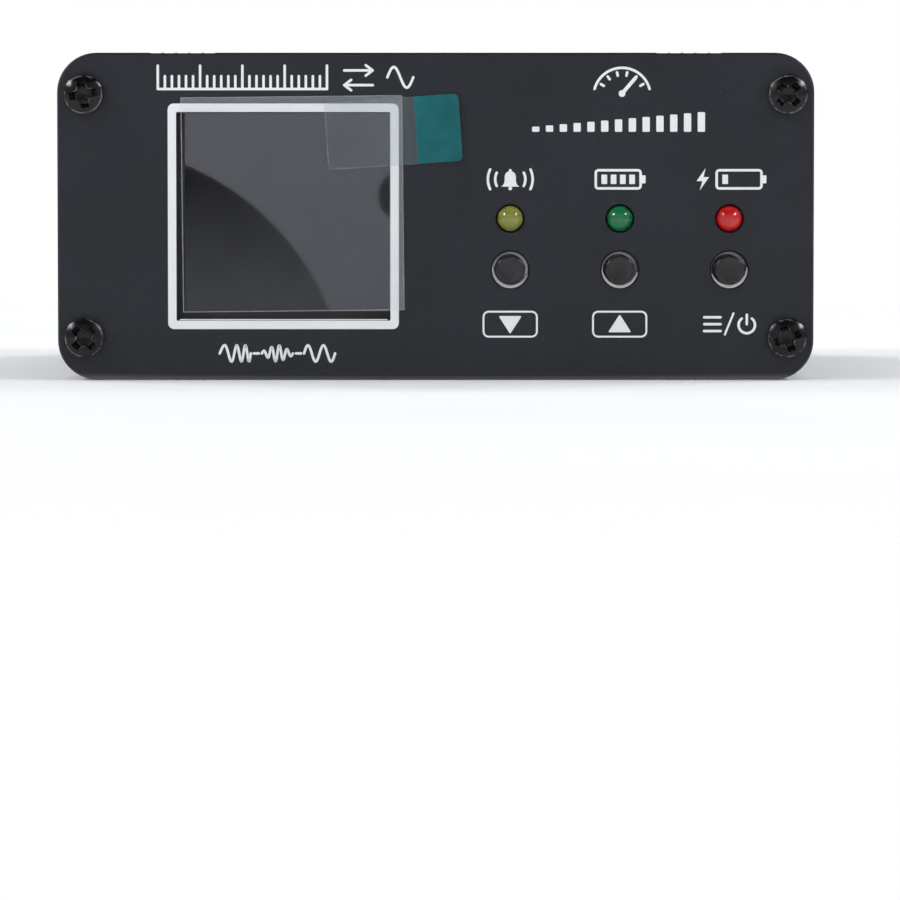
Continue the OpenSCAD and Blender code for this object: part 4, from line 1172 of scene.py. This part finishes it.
@dataclass
class DisplayCover:
    """Peel-off film over the display and its pull tab."""

    face: Face
    film: Span = (25.7, 24.9)
    film_turn: float = 0.6
    tab: Span = (15.6, 7.8)
    tab_turn: float = 4.0
    teal: float = 5.2
    sheet_t: float = 0.08
    opening: Span = (24.8, 24.1)
    opening_x: float = -17.68
    # Height of the pale lower-edge bar, a painted highlight.
    bare_and_lit: float = 0.12

    def lit_cut_edge(self) -> None:
        """The bare lower edge of the plate's opening, a thin pale bar that fills the cut's last stretch: a
        painted highlight, put only on the lower edge where light from above falls.
        """
        width, height = self.opening
        rows = [(width - 0.7, self.bare_and_lit, 0.02, z) for z in (-1.4, -0.03)]
        bar = Solid().loft(rows, (self.opening_x, (self.bare_and_lit - height) / 2), steps=2)
        settle(bar, "opening_lit_edge", self.face, BARE_AND_LIT, crease=30, slot="plate_black")

    def sheet(self, size: Span, span: Span, turn: float, at: Array, lift: Array, corner: float) -> Solid:
        """A thin sheet as a grid over its own length and height, top and bottom joined at the edge.

        Each column is as high as the round corner leaves it: h/2 - r + sqrt(r^2 - (r - d)^2) at a
        distance d under r from an end. The level is the lift given for each column.

        Args:
            size: full length and height of the sheet.
            span: the part of the length that this piece covers, from its left end.
            turn: degrees that it is turned.
            at: middle of the whole sheet on the face.
            lift: level along the whole length, as values at equal steps.
            corner: corner radius.

        Returns:
            The solid.
        """
        length, height = size
        edge = np.array([0, 0.05, 0.12, 0.4])
        x = np.unique(np.concatenate([span[0] + edge, np.linspace(span[0] + 0.8, span[1] - 0.8, 14),
                                      span[1] - edge]))
        rows = edge / height * 2
        v = np.unique(np.concatenate([-1 + rows, np.linspace(-0.9, 0.9, 9), 1 - rows]))
        gap = np.minimum(x, length - x)
        bite = corner - np.sqrt(np.maximum(corner**2 - np.maximum(corner - gap, 0) ** 2, 0))
        half = height / 2 - bite
        gx = np.repeat(x[:, None] - length / 2, len(v), 1)
        gy = half[:, None] * v[None]
        level = np.interp(x, np.linspace(0, length, len(lift)), lift)[:, None] + 0.0 * gy
        c, s = cos_sin(turn)
        flat = np.stack([gx * c - gy * s + at[0], gx * s + gy * c + at[1]], -1)
        low = np.concatenate([flat, level[..., None]], -1)
        high = np.concatenate([flat, level[..., None] + self.sheet_t], -1)
        rings = np.concatenate([low, high[:, ::-1]], axis=1)
        # Marks the cut edges for the painted edge highlight.
        rim = np.maximum((np.abs(v) > 1 - 0.06 / height * 2)[None] * 1.0,
                         ((x - span[0] < 0.06) | (span[1] - x < 0.06))[:, None] * 1.0)
        wear_and_glint = np.concatenate([rim, rim[:, ::-1]], axis=1)
        return Solid().skin(rings[:, ::-1], wear_and_glint=wear_and_glint[:, ::-1])

    def build(self) -> None:
        """The bare edge with its painted highlight, the film, and the clear part and the teal end of the tab.
        """
        self.lit_cut_edge()
        at = self.face.middle_of("protective_film")
        lift = np.array([0.06, 0.045, 0.05, 0.055, 0.05, 0.06, 0.07])
        film = self.sheet(self.film, (0, self.film[0]), self.film_turn, at, lift, 0.05)
        settle(film, "protective_film_visual", self.face, FILM, "protective_film")
        at = self.face.middle_of("pull_tab")
        split = self.tab[0] - self.teal
        lift = np.array([0.16, 0.16, 0.16, 0.17, 0.2, 0.25, 0.33])
        for name, span, finish in (("pull_tab_clear", (0, split - 0.01), TAB_CLEAR),
                                   ("pull_tab_teal", (split + 0.01, self.tab[0]), TAB_TEAL)):
            part = self.sheet(self.tab, span, self.tab_turn, at, lift, 0.6)
            settle(part, name, self.face, finish, "pull_tab")


@dataclass
class Lamp:
    """A 3 mm lamp: a round-nosed resin body with a foot."""

    node: str
    face: Face
    finish: Finish
    diameter: float = 3.0
    foot_d: float = 3.8
    foot_t: float = 1.0

    def build(self) -> None:
        """Profile up the foot, the side and a dome r cos b, r sin b, turned round."""
        at, tip, back = self.face.span_of(self.node)
        r = self.diameter / 2
        b = np.linspace(0, np.pi / 2, 18)[:-1]
        dome = np.c_[r * np.cos(b), tip - r + r * np.sin(b)]
        dome[-1, 0] = max(dome[-1, 0], 0.02)
        foot = soften(np.array([[self.foot_d / 2, back], [self.foot_d / 2, back + self.foot_t],
                                [r, back + self.foot_t], [r, back + self.foot_t + 0.5]]), 0.15, closed=False)
        profile = np.concatenate([foot, dome, [[0.03, tip]]])
        solid = Solid().turn(profile, 48, at)
        settle(solid, self.node + "_visual", self.face, self.finish, self.node, crease=40)


@dataclass
class Key:
    """A push button stem with a soft rim and a slightly dished front."""

    node: str
    face: Face
    diameter: float = 3.4
    foot_d: float = 4.2
    foot_t: float = 0.5
    soft: float = 0.3
    dish: float = 0.05
    hole_r: float = 2.1
    # Width and turn of the pale crescent, a painted highlight on the hole's lit lower side.
    bare_and_lit: float = 0.36
    bare_and_lit_turn: float = -108.0

    def bare_and_lit_edge(self, at: Array) -> None:
        """Bare metal crescent at the lower edge of the hole, a painted highlight where light from above falls
        on the hole's wall: its width falls as the root of cos b.
        """
        b = np.radians(np.linspace(-88, 88, 40))
        width = self.bare_and_lit * np.sqrt(np.cos(b))
        outer = np.full(len(b), self.hole_r + 0.01)
        back = np.full(len(b), -0.6)
        radius = np.stack([outer - width, outer, outer, outer - width * 0.97], -1)
        level = np.stack([back, back, np.full(len(b), -0.10), -0.12 - 0.45 * width], -1)
        rings = polar(radius, (b + math.radians(self.bare_and_lit_turn))[:, None], level)
        solid = Solid().skin(rings[:, ::-1], at)
        settle(solid, self.node + "_hole_lit_edge", self.face, BARE_AND_LIT, crease=30, slot="plate_black")

    def build(self) -> None:
        """Profile up the foot and the stem, round the rim and in over the dish, turned round."""
        at, tip, back = self.face.span_of(self.node)
        r = self.diameter / 2
        a = np.linspace(0, np.pi / 2, 9)
        rim = np.c_[r - self.soft + self.soft * np.cos(a), tip - self.soft + self.soft * np.sin(a)]
        u = np.linspace(1, 0.03, 10)[1:]
        face = np.c_[(r - self.soft) * u, tip - self.dish * (1 - u**4)]
        foot = [[self.foot_d / 2, back], [self.foot_d / 2, back + self.foot_t], [r, back + self.foot_t]]
        profile = np.concatenate([foot, rim, face])
        self.bare_and_lit_edge(at)
        solid = Solid().turn(profile, 56, at)
        settle(solid, self.node + "_visual", self.face, KEY_BLACK, self.node, body=self.node, crease=40)


@dataclass
class CoaxSocket:
    """A screw-on coaxial socket: threaded shell, white insulator and slotted gold contact."""

    side: str
    face: Face
    slots_turn: float
    seed: int
    thread_d: float = 15.88
    pitch: float = 1.058
    thread_depth: float = 0.5
    flange_d: float = 18.1
    flange_t: float = 2.0
    reach: float = 12.8
    lip_r: float = 7.0
    lip_set: float = 0.6
    insulator_d: float = 10.9
    shank_d: float = 12.0
    back: float = -10.5
    around: int = 540
    teeth: int = 36
    contact_d: float = 4.8
    bore_d: float = 3.96
    slot_w: float = 0.3
    ripples: int = 45
    lining_t: float = 0.03

    def shell_rings(self) -> Array:
        """The shell as radius and height over (profile, angle); its lip is a quarter ellipse.

        The rim's radius ripples as |sin 45a|. The serrated ring sinks by notches whose depth
        changes from tooth to tooth.

        Returns:
            (m, around, 3) rings, closed through the bore.
        """
        crest, inner = self.thread_d / 2, self.insulator_d / 2
        root = crest - self.thread_depth
        shank = soften(np.array([[4.0, self.back], [self.shank_d / 2, self.back], [self.shank_d / 2, 0]]), 0.2,
                       closed=False)
        rim = self.flange_d / 2
        top = self.flange_t
        flange = np.array([[rim - 0.1, 0], [rim, 0.15], [rim, top - 0.6], [rim - 0.08, top - 0.42],
                           [rim - 0.3, top - 0.3], [crest + 0.1, top], [root, top + 0.1],
                           [root, self.reach - 0.85]])
        b = np.radians(np.linspace(8, 84, 12))
        deep, wide = 0.72, crest - self.lip_r - 0.1
        lip = np.c_[self.lip_r + 0.1 + wide * np.cos(b), self.reach - deep * (1 - np.sin(b))]
        lip = np.vstack([[crest, self.reach - deep - 0.15], lip, [self.lip_r, self.reach - 0.08]])
        ring_z = self.reach - self.lip_set
        ring = np.c_[np.linspace(self.lip_r - 0.06, inner + 0.12, 7), np.full(7, ring_z)]
        well = np.array([[inner, ring_z - 0.25], [inner, 0.5], [4.0, 0.5]])
        profile = np.concatenate([shank, flange, lip, ring, well])
        a = once_round(self.around)
        radius = np.repeat(profile[:, :1], self.around, 1)
        height = np.repeat(profile[:, 1:], self.around, 1)
        radius[len(shank) + 1:len(shank) + 4] -= 0.07 * np.abs(np.sin(self.ripples * a))
        first = len(shank) + len(flange) + len(lip)
        serrated = slice(first, first + len(ring))
        height[serrated] -= self.serration(a)[None] * np.array([0.35, 0.9, 1, 1, 1, 0.9, 0.45])[:, None]
        return polar(radius, a, height)

    def thread_rings(self) -> Array:
        """The thread as a ridge wound round the shell: at angle a it stands at z0 + pitch a / turn.

        Returns:
            (m, 4, 3) cross-sections, sinking into the shell at both ends.
        """
        start, end = self.flange_t + 0.45, self.reach - 0.6
        turns = (end - start) / self.pitch
        t = np.linspace(0, turns, int(turns * 96))[:, None]
        crest, base = self.thread_d / 2, self.thread_d / 2 - self.thread_depth - 0.08
        rise = np.clip(np.minimum(t, turns - t) / 0.12, 0, 1)
        radius = base + (crest - base) * rise * np.array([[0, 0, 1, 1]])
        height = start + self.pitch * (t + np.array([[-0.47, 0.47, 0.07, -0.07]]))
        return polar(radius, 2 * np.pi * t, height)

    def serration(self, a: Array) -> Array:
        """Depth of the serrated ring at each angle: a V notch in each tooth, then a narrow flat.

        Args:
            a: angles.

        Returns:
            Depths in mm.
        """
        rng = np.random.default_rng(self.seed)
        width = rng.uniform(0.85, 1.15, self.teeth)
        edges = np.concatenate([[0], np.cumsum(width)]) / width.sum() * 2 * np.pi
        tooth = np.clip(np.searchsorted(edges, a, side="right") - 1, 0, self.teeth - 1)
        share = (a - edges[tooth]) / (edges[tooth + 1] - edges[tooth])
        depth = rng.uniform(0.5, 0.9, self.teeth)[tooth]
        lowest = rng.uniform(0.25, 0.6, self.teeth)[tooth]
        flat = rng.uniform(0.80, 0.92, self.teeth)[tooth]
        notch = np.where(share < lowest, share / lowest, (flat - share) / (flat - lowest))
        return depth * np.clip(notch, 0, 1)

    def build(self) -> None:
        """The shell, the insulator, the contact and the inside of its bore."""
        at = self.face.middle_of("contact_" + self.side)
        shell = Solid().skin(self.shell_rings(), at, hoop=True).skin(self.thread_rings(), at)
        settle(shell, "socket_shell_" + self.side, self.face, NICKEL, "socket_shells", crease=28)
        self.insulator(at)
        self.contact(at)

    def insulator(self, at: Array) -> None:
        """White sleeve: a closed profile with softened front edges, turned round."""
        front = self.reach - self.lip_set - 0.05
        inner, outer, gap = 1.65, self.insulator_d / 2 - 0.04, 2.66
        profile = soften(np.array([[inner, self.back - 1], [3.96, self.back - 1], [3.96, 0.54], [outer, 0.54],
                                   [outer, front], [gap, front], [gap, 0.6], [inner, 0.6]]),
                         np.array([0.05, 0.1, 0.05, 0.05, 0.22, 0.12, 0.05, 0.05]))
        sleeve = Solid().turn(profile, 96, at, hoop=True)
        settle(sleeve, "socket_insulator_" + self.side, self.face, PTFE, "socket_insulators", crease=35)

    def leaves(self, solid: Solid, section: Array, outer: float, at: Array) -> None:
        """A closed section carried four times through a quarter turn less the slot.

        Args:
            solid: what gathers the faces.
            section: (k, 2) radius and height.
            outer: radius at which the slot has its width.
            at: where the axis stands.
        """
        for k in range(4):
            middle = math.radians(self.slots_turn + 45 + 90 * k)
            half = math.pi / 4 - self.slot_w / 2 / outer
            a = np.linspace(middle - half, middle + half, 18)[:, None]
            solid.skin(polar(section[:, 0], a, section[:, 1])[:, ::-1], at)

    def contact(self, at: Array) -> None:
        """Four spring leaves round the bore, the tube behind them, and the bore's lining with its coned end."""
        tip = self.reach - 0.9
        outer, inner = self.contact_d / 2, self.bore_d / 2
        slot_end, floor, cone_top = tip - 5.3, tip - 9.4, tip - 8.5
        gold, lining = Solid(), Solid()
        leaf = soften(np.array([[inner, slot_end], [outer, slot_end], [outer, tip], [inner, tip]]),
                      np.array([0.01, 0.01, 0.14, 0.16]))
        touch, skin, top = inner - 0.002, inner - self.lining_t, tip - 0.3
        film = np.array([[skin, slot_end], [touch, slot_end], [touch, top], [skin, top]])
        self.leaves(gold, leaf, outer, at)
        self.leaves(lining, film, outer, at)
        tube = np.array([[1.6, self.back - 3], [1.6, 0.7], [outer, 0.7], [outer, slot_end], [inner, slot_end],
                         [inner, cone_top], [0.05, floor]])
        settle(gold.turn(tube, 64, at), "contact_gold_" + self.side, self.face, GOLD, "contact_" + self.side,
               crease=35)
        wall = np.array([[touch, cone_top], [touch, slot_end], [skin, slot_end], [skin, floor + 1.0]])
        cone = np.c_[np.linspace(skin, 0.04, 12), floor + 1.0 - 0.85 * np.linspace(0, 1, 12)][1:]
        settle(lining.turn(np.concatenate([wall, cone]), 64, at), "contact_bore_" + self.side, self.face, BORE,
               crease=35)


@dataclass
class ChargingPort:
    """Reversible charging port: a rolled steel shell and a contact tongue."""

    face: Face
    width: float = 8.94
    height: float = 3.2
    wall: float = 0.3
    length: float = 7.4
    tongue_w: float = 6.7
    tongue_t: float = 0.7
    pads: int = 12
    pad_pitch: float = 0.5

    def build(self) -> None:
        """The shell, the tongue and its contact pads."""
        at, front, _ = self.face.span_of("usb_shell")
        w, h, t = self.width, self.height, self.wall
        back = front - self.length
        sections = [(w, h, back), (w, h, front - 0.12), (w - 0.06, h - 0.06, front - 0.03),
                    (w - 0.2, h - 0.2, front), (w - 2 * t + 0.16, h - 2 * t + 0.16, front - 0.01),
                    (w - 2 * t + 0.03, h - 2 * t + 0.03, front - 0.07), (w - 2 * t, h - 2 * t, front - 0.2),
                    (w - 2 * t, h - 2 * t, back + 1.0)]
        shell = Solid().loft([(a, b, b / 2 - 0.001, z) for a, b, z in sections], at, steps=14)
        settle(shell, "usb_shell_visual", self.face, STEEL, "usb_shell", crease=40)
        tip = front - 1.1
        tongue = Solid().loft([(self.tongue_w, self.tongue_t, 0.1, back + 1.02),
                               (self.tongue_w, self.tongue_t, 0.1, tip - 0.15),
                               (self.tongue_w - 0.2, self.tongue_t - 0.2, 0.08, tip)], at, steps=3)
        a, b = w - 2 * t - 0.02, h - 2 * t - 0.02
        tongue.loft([(a, b, b / 2 - 0.001, z) for z in (back + 1.01, back + 2.0)], at, steps=10)
        settle(tongue, "usb_tongue_visual", self.face, BLACK_MOULD, "usb_tongue", crease=40,
               slot="switch_black")
        pads = Solid()
        for side in SIDES:
            for i in range(self.pads):
                x = (i - (self.pads - 1) / 2) * self.pad_pitch
                spot = at[:2] + [x, side * self.tongue_t / 2]
                pads.loft([(0.26, 0.06, 0.02, back + 2.2), (0.26, 0.06, 0.02, tip - 0.5)], spot, steps=2)
        settle(pads, "usb_contacts", self.face, GOLD, crease=40)


@dataclass
class RockerSwitch:
    """Rocker switch: a moulded housing with a sloping bezel, and a red paddle with its marks."""

    face: Face
    bezel: Span = (10.4, 15.0)
    edge: float = 0.6
    reach: float = 2.0
    slope: Span = (1.15, 1.4)
    opening: Span = (6.8, 10.9)
    housing: Span = (8.8, 13.2)
    housing_back: float = 12.0
    tilt: float = 14.0
    pivot_set: float = 2.0
    paddle_w: float = 6.5
    corner_out: float = 5.0
    corner_up: float = 4.2
    valley: float = 0.32
    side_r: float = 0.28
    mark_at: float = 2.1

    def build(self) -> None:
        """The housing, the paddle and the two marks."""
        at = self.face.middle_of("rocker_housing")
        self.housing_piece(at)
        self.paddle(at)
        self.marks(at)

    def housing_piece(self, at: Array) -> None:
        """Round-cornered rectangles up the outside, over the bezel and down into the opening."""
        (bw, bh), (ow, oh), (hw, hh) = self.bezel, self.opening, self.housing
        sx, sy = self.slope
        top = self.reach
        rows = [(hw, hh, 0.2, -self.housing_back), (hw, hh, 0.2, 0.0), (bw, bh, 0.25, 0.0),
                (bw, bh, 0.25, self.edge - 0.06), (bw - 0.06, bh - 0.07, 0.24, self.edge),
                (bw - 2 * sx + 0.10, bh - 2 * sy + 0.12, 0.12, top - 0.05),
                (bw - 2 * sx - 0.04, bh - 2 * sy - 0.04, 0.10, top), (ow + 0.16, oh + 0.16, 0.14, top),
                (ow + 0.04, oh + 0.04, 0.12, top - 0.04), (ow, oh, 0.1, top - 0.16),
                (ow, oh, 0.1, -self.housing_back + 1.2)]
        steps = 5
        # Painted glints on the bezel's sloping rows at its two top corners only.
        wear_and_glint = np.zeros((len(rows), 4 * steps))
        wear_and_glint[4:7, [steps // 2, steps + steps // 2]] = 1
        solid = Solid().loft(rows, at, steps, wear_and_glint=wear_and_glint)
        settle(solid, "rocker_housing_visual", self.face, SWITCH_BLACK, "rocker_housing", crease=24)

    def outline(self) -> Array:
        """Side view of the paddle, level: (up, out of the pivot), a shallow valley with rounded corners."""
        up, out = self.corner_up, self.corner_out
        corners = np.array([[0, out - self.valley], [-up, out], [-5.1, 3.3], [-5.2, 1.0], [-5.2, -0.6],
                            [-3.6, -1.6], [3.6, -1.6], [5.2, -0.6], [5.2, 1.0], [5.1, 3.3], [up, out]])
        radii = np.array([2.4, 0.75, 0.9, 0.3, 0.4, 0.4, 0.4, 0.4, 0.3, 0.9, 0.75])
        return soften(corners, radii, 8)

    def pose(self, points: Array, at: Array) -> Array:
        """Tilts level points (across, up, out of the pivot) to the off position and places them.

        Args:
            points: (..., 3) points.
            at: middle of the switch on the face.

        Returns:
            Points on the face.
        """
        c, s = cos_sin(self.tilt)
        x, up, out = np.moveaxis(points, -1, 0)
        return np.stack([x + at[0], up * c - out * s + at[1], up * s + out * c - self.pivot_set], -1)

    def paddle(self, at: Array) -> None:
        """The side view carried across, drawn in at both sides by r - sqrt(r^2 - (r - d)^2) for soft edges."""
        shape, half, radius = self.outline(), self.paddle_w / 2, self.side_r
        d = radius * (1 - np.cos(np.linspace(0, np.pi / 2, 6)))
        x = np.concatenate([d, [half], self.paddle_w - d[::-1]]) - half
        gap = np.minimum(x + half, half - x)
        draw = radius - np.sqrt(np.maximum(radius**2 - np.maximum(radius - gap, 0) ** 2, 0))
        away = shape - [0.0, 1.6]
        unit = away / np.linalg.norm(away, axis=1, keepdims=True)
        flat = shape[None] - unit[None] * draw[:, None, None]
        rings = np.concatenate([np.broadcast_to(x[:, None, None], (*flat.shape[:2], 1)), flat], -1)
        solid = Solid().skin(self.pose(rings, at))
        settle(solid, "rocker_paddle_visual", self.face, ROCKER_RED, "rocker_paddle", body="rocker", crease=30)

    def marks(self, at: Array) -> None:
        """The on bar and the off ring, printed on the two slopes of the paddle."""
        flat = Solid()
        ink = Ink(flat, 0.34)
        ink.stroke(np.array([[0, self.mark_at - 1.0], [0, self.mark_at], [0, self.mark_at + 1.0]]))
        ink.ring(0, -self.mark_at, 0.98)
        slope, base = self.valley / self.corner_up, self.corner_out - self.valley + 0.005
        for i, p in enumerate(flat.points):
            lifted = np.stack([p[:, 0], p[:, 1], base + np.abs(p[:, 1]) * slope + p[:, 2]], -1)
            flat.points[i] = self.pose(lifted, at)
        settle(flat, "rocker_marks", self.face, ROCKER_MARK, body="rocker", crease=50, slot="rocker_red")


# ---------- studio ----------


def hide_from(thing: bpy.types.Object, *rays: str) -> None:
    """Hides an object from some kinds of rays."""
    for ray in rays:
        setattr(thing, "visible_" + ray, False)


@dataclass
class Studio:
    """Pale all-round cove, soft lights, glare cards and the camera."""

    front: Face
    distance: float = 0.549
    focal: float = 189.0
    aim_side: float = 0.00166
    aim_down: float = 2.83
    floor_r: float = 1.6
    bend_r: float = 0.6
    wall_h: float = 2.2
    card_share: float = 0.6
    disc_share: float = 0.599

    def build(self) -> None:
        """Lays the cove, hangs the lights and cards, and sets the camera."""
        self.cove()
        self.sky()
        self.lamps()
        self.cards()
        self.camera()
        view = bpy.context.scene.view_settings
        view.view_transform, view.look = "Standard", "None"
        view.exposure, view.gamma = 0.0, 1.0

    def bowl(self, name: str, lift: float) -> bpy.types.Object:
        """Flat floor that rises in a quarter round to a wall, turned round the object.

        Args:
            name: its name.
            lift: how far above the floor it starts, in metres.

        Returns:
            The staged bowl.
        """
        bend = np.linspace(0, np.pi / 2, 16)
        curve = np.c_[self.floor_r + self.bend_r * np.sin(bend), self.bend_r * (1 - np.cos(bend))]
        top = [[self.floor_r + self.bend_r, self.wall_h]]
        profile = np.concatenate([[[0.02, 0.0], [0.5, 0.0]], curve, top]) * [1 - lift, 1] + [0, lift]
        rings = polar(profile[:, :1], once_round(96), profile[:, 1:])
        index = np.arange(rings[..., 0].size).reshape(rings.shape[:2])
        mesh = bpy.data.meshes.new(name)
        mesh.from_pydata(rings.reshape(-1, 3), [], [*quads_between(index), index[0].tolist()])
        mesh.shade_smooth()
        bowl = put(name, mesh)
        return bowl

    def cove(self) -> None:
        """A pale paper bowl, and over it a white haze that grows with distance and only the camera sees."""
        paper = Finish("cove", (0.86, 0.87, 0.89), (0.89, 0.90, 0.915), roughness=0.7, grain_mm=0.6,
                       relief_mm=0.01, blotch_mm=120, name="cove_paper")
        dress(self.bowl("cove", 0.0), paper)
        haze = self.bowl("haze", 0.002)
        sheet = Sheet("haze")
        away = sheet.node("VectorMath", {0: sheet.coords}, operation="LENGTH").outputs["Value"]
        sheet.glow((1, 1, 1), 1.0)
        sheet.feed(Alpha=sheet.spread(away, (0.10, 0.36), (0, 1)))
        haze.data.materials.append(sheet.material)
        hide_from(haze, "glossy", "diffuse", "shadow", "transmission")

    def sky(self) -> None:
        """Soft light from all round: bright at the horizon, dimmer overhead."""
        world = bpy.data.worlds.new("studio")
        bpy.context.scene.world = world
        world.use_nodes = True
        tree = world.node_tree
        back = tree.nodes["Background"]
        view = wire(tree, "TexCoord", {}).outputs["Generated"]
        up = wire(tree, "SeparateXYZ", {0: view}).outputs[2]
        ramp = wire(tree, "MapRange", {"Value": up, "From Min": 0.0, "From Max": 0.55,
                                       "To Min": 0.40, "To Max": 0.035})
        tree.links.new(ramp.outputs[0], back.inputs["Strength"])
        back.inputs["Color"].default_value = (0.96, 0.98, 1.0, 1.0)

    def light(self, name: str, at: tuple[float, float, float], size: Span, watts: float,
              glint: bool = True) -> None:
        """A soft rectangular light aimed at the object's middle.

        Args:
            name: its name.
            at: where it hangs, in metres.
            size: width and height in metres.
            watts: its power.
            glint: whether glossy surfaces mirror it.
        """
        lamp = bpy.data.lights.new(name, "AREA")
        lamp.shape, lamp.size, lamp.size_y, lamp.energy = "RECTANGLE", size[0], size[1], watts
        thing = put(name, lamp)
        thing.location = at
        thing.visible_glossy = glint
        thing.rotation_euler = (Vector((0, 0, 0.02)) - Vector(at)).to_track_quat("-Z", "Y").to_euler()

    def lamps(self) -> None:
        """Two soft boxes high at the front, one overhead and two at the rear."""
        self.light("key_left", (-1.02, -0.52, 0.78), (0.30, 0.30), 5.8)
        self.light("key_right", (1.02, -0.52, 0.78), (0.30, 0.30), 5.4)
        self.light("overhead", (0.0, 0.05, 1.5), (1.4, 1.0), 9, glint=False)
        self.light("rear_left", (1.02, 0.72, 0.78), (0.46, 0.46), 7.2)
        self.light("rear_right", (-1.02, 0.72, 0.78), (0.46, 0.46), 7.2)

    def card(self, name: str, outline: Array, y: float, glow: Span, height: Span = (0.0, 1.0)) -> None:
        """A flat card before the object that only glossy surfaces see.

        Args:
            name: its name.
            outline: (k, 2) points across and up, in metres.
            y: where it stands.
            glow: how bright it is at the lower and at the upper height.
            height: those two heights.
        """
        mesh = bpy.data.meshes.new(name)
        mesh.from_pydata(np.c_[outline[:, 0], np.full(len(outline), y), outline[:, 1]], [],
                         [list(range(len(outline)))])
        card = put(name, mesh)
        sheet = Sheet(name)
        sheet.glow((0.86, 0.89, 1.0), sheet.spread(sheet.along(2), height, glow))
        mesh.materials.append(sheet.material)
        hide_from(card, "camera", "diffuse", "shadow", "transmission")

    def cards(self) -> None:
        """A pale card and two dark discs that the display glass mirrors."""
        y0, z0 = self.front.middle[1:]
        grow = 1 + self.card_share
        self.card("pale_card", box_loop(0.075, 0.062, 0.002, 4) + [-0.034, 0.032],
                  y0 - self.distance * self.card_share, (1.45, 1.75), (0.0, 0.05))
        for name, x, z, radius, glow in (("dark_disc", -41.1, -22.6, 31.0, (0.75, 0.10)),
                                         ("dark_spot", -3.6, 2.4, 3.1, (0.3, 0.3))):
            at = [x * MM * grow - self.aim_side * self.card_share, z0 + z * MM * grow]
            outline = circle(radius * MM * grow, 96) + at
            self.card(name, outline, y0 - self.distance * self.disc_share, glow, (0.004, 0.026))

    def camera(self) -> None:
        """Long lens level with the plate's middle, turned down so that the object stands in the upper half."""
        data = bpy.data.cameras.new("camera")
        data.lens, data.sensor_width = self.focal, 36.0
        data.clip_start, data.clip_end = 0.05, 20.0
        camera = put("camera", data)
        camera.location = (self.aim_side, self.front.middle[1] - self.distance, self.front.middle[2])
        camera.rotation_euler = (math.radians(90 - self.aim_down), 0, 0)
        bpy.context.scene.camera = camera


def main(frame: dict) -> None:
    """Builds and dresses every sub-assembly in order.
    """
    front, rear = Face.front(), Face.rear()
    CarriedParts(frame["nodes"]).build()
    Screws("front_screws", front, (45, 10, 20, 45)).build()
    Screws("rear_screws", rear, (20, 30, 45, 5)).build()
    FrontPrint(front).build()
    RearPrint(rear).build()
    DisplayCover(front).build()
    for node, finish in (("lamp_alert", LAMP_YELLOW), ("lamp_full", LAMP_GREEN), ("lamp_charge", LAMP_RED)):
        Lamp(node, front, finish).build()
    # Each turn points the painted highlight crescent to the side where light falls.
    for node, turn in (("button_down", -105), ("button_up", -95), ("button_mode", -80)):
        Key(node, front, bare_and_lit_turn=turn).build()
    CoaxSocket("antenna", rear, 45, 11).build()
    CoaxSocket("transmitter", rear, 30, 23).build()
    ChargingPort(rear).build()
    RockerSwitch(rear).build()
    Studio(front).build()


if __name__ == "__main__":
    logging.basicConfig(level=logging.INFO, format="%(message)s")
    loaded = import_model()
    main(loaded)
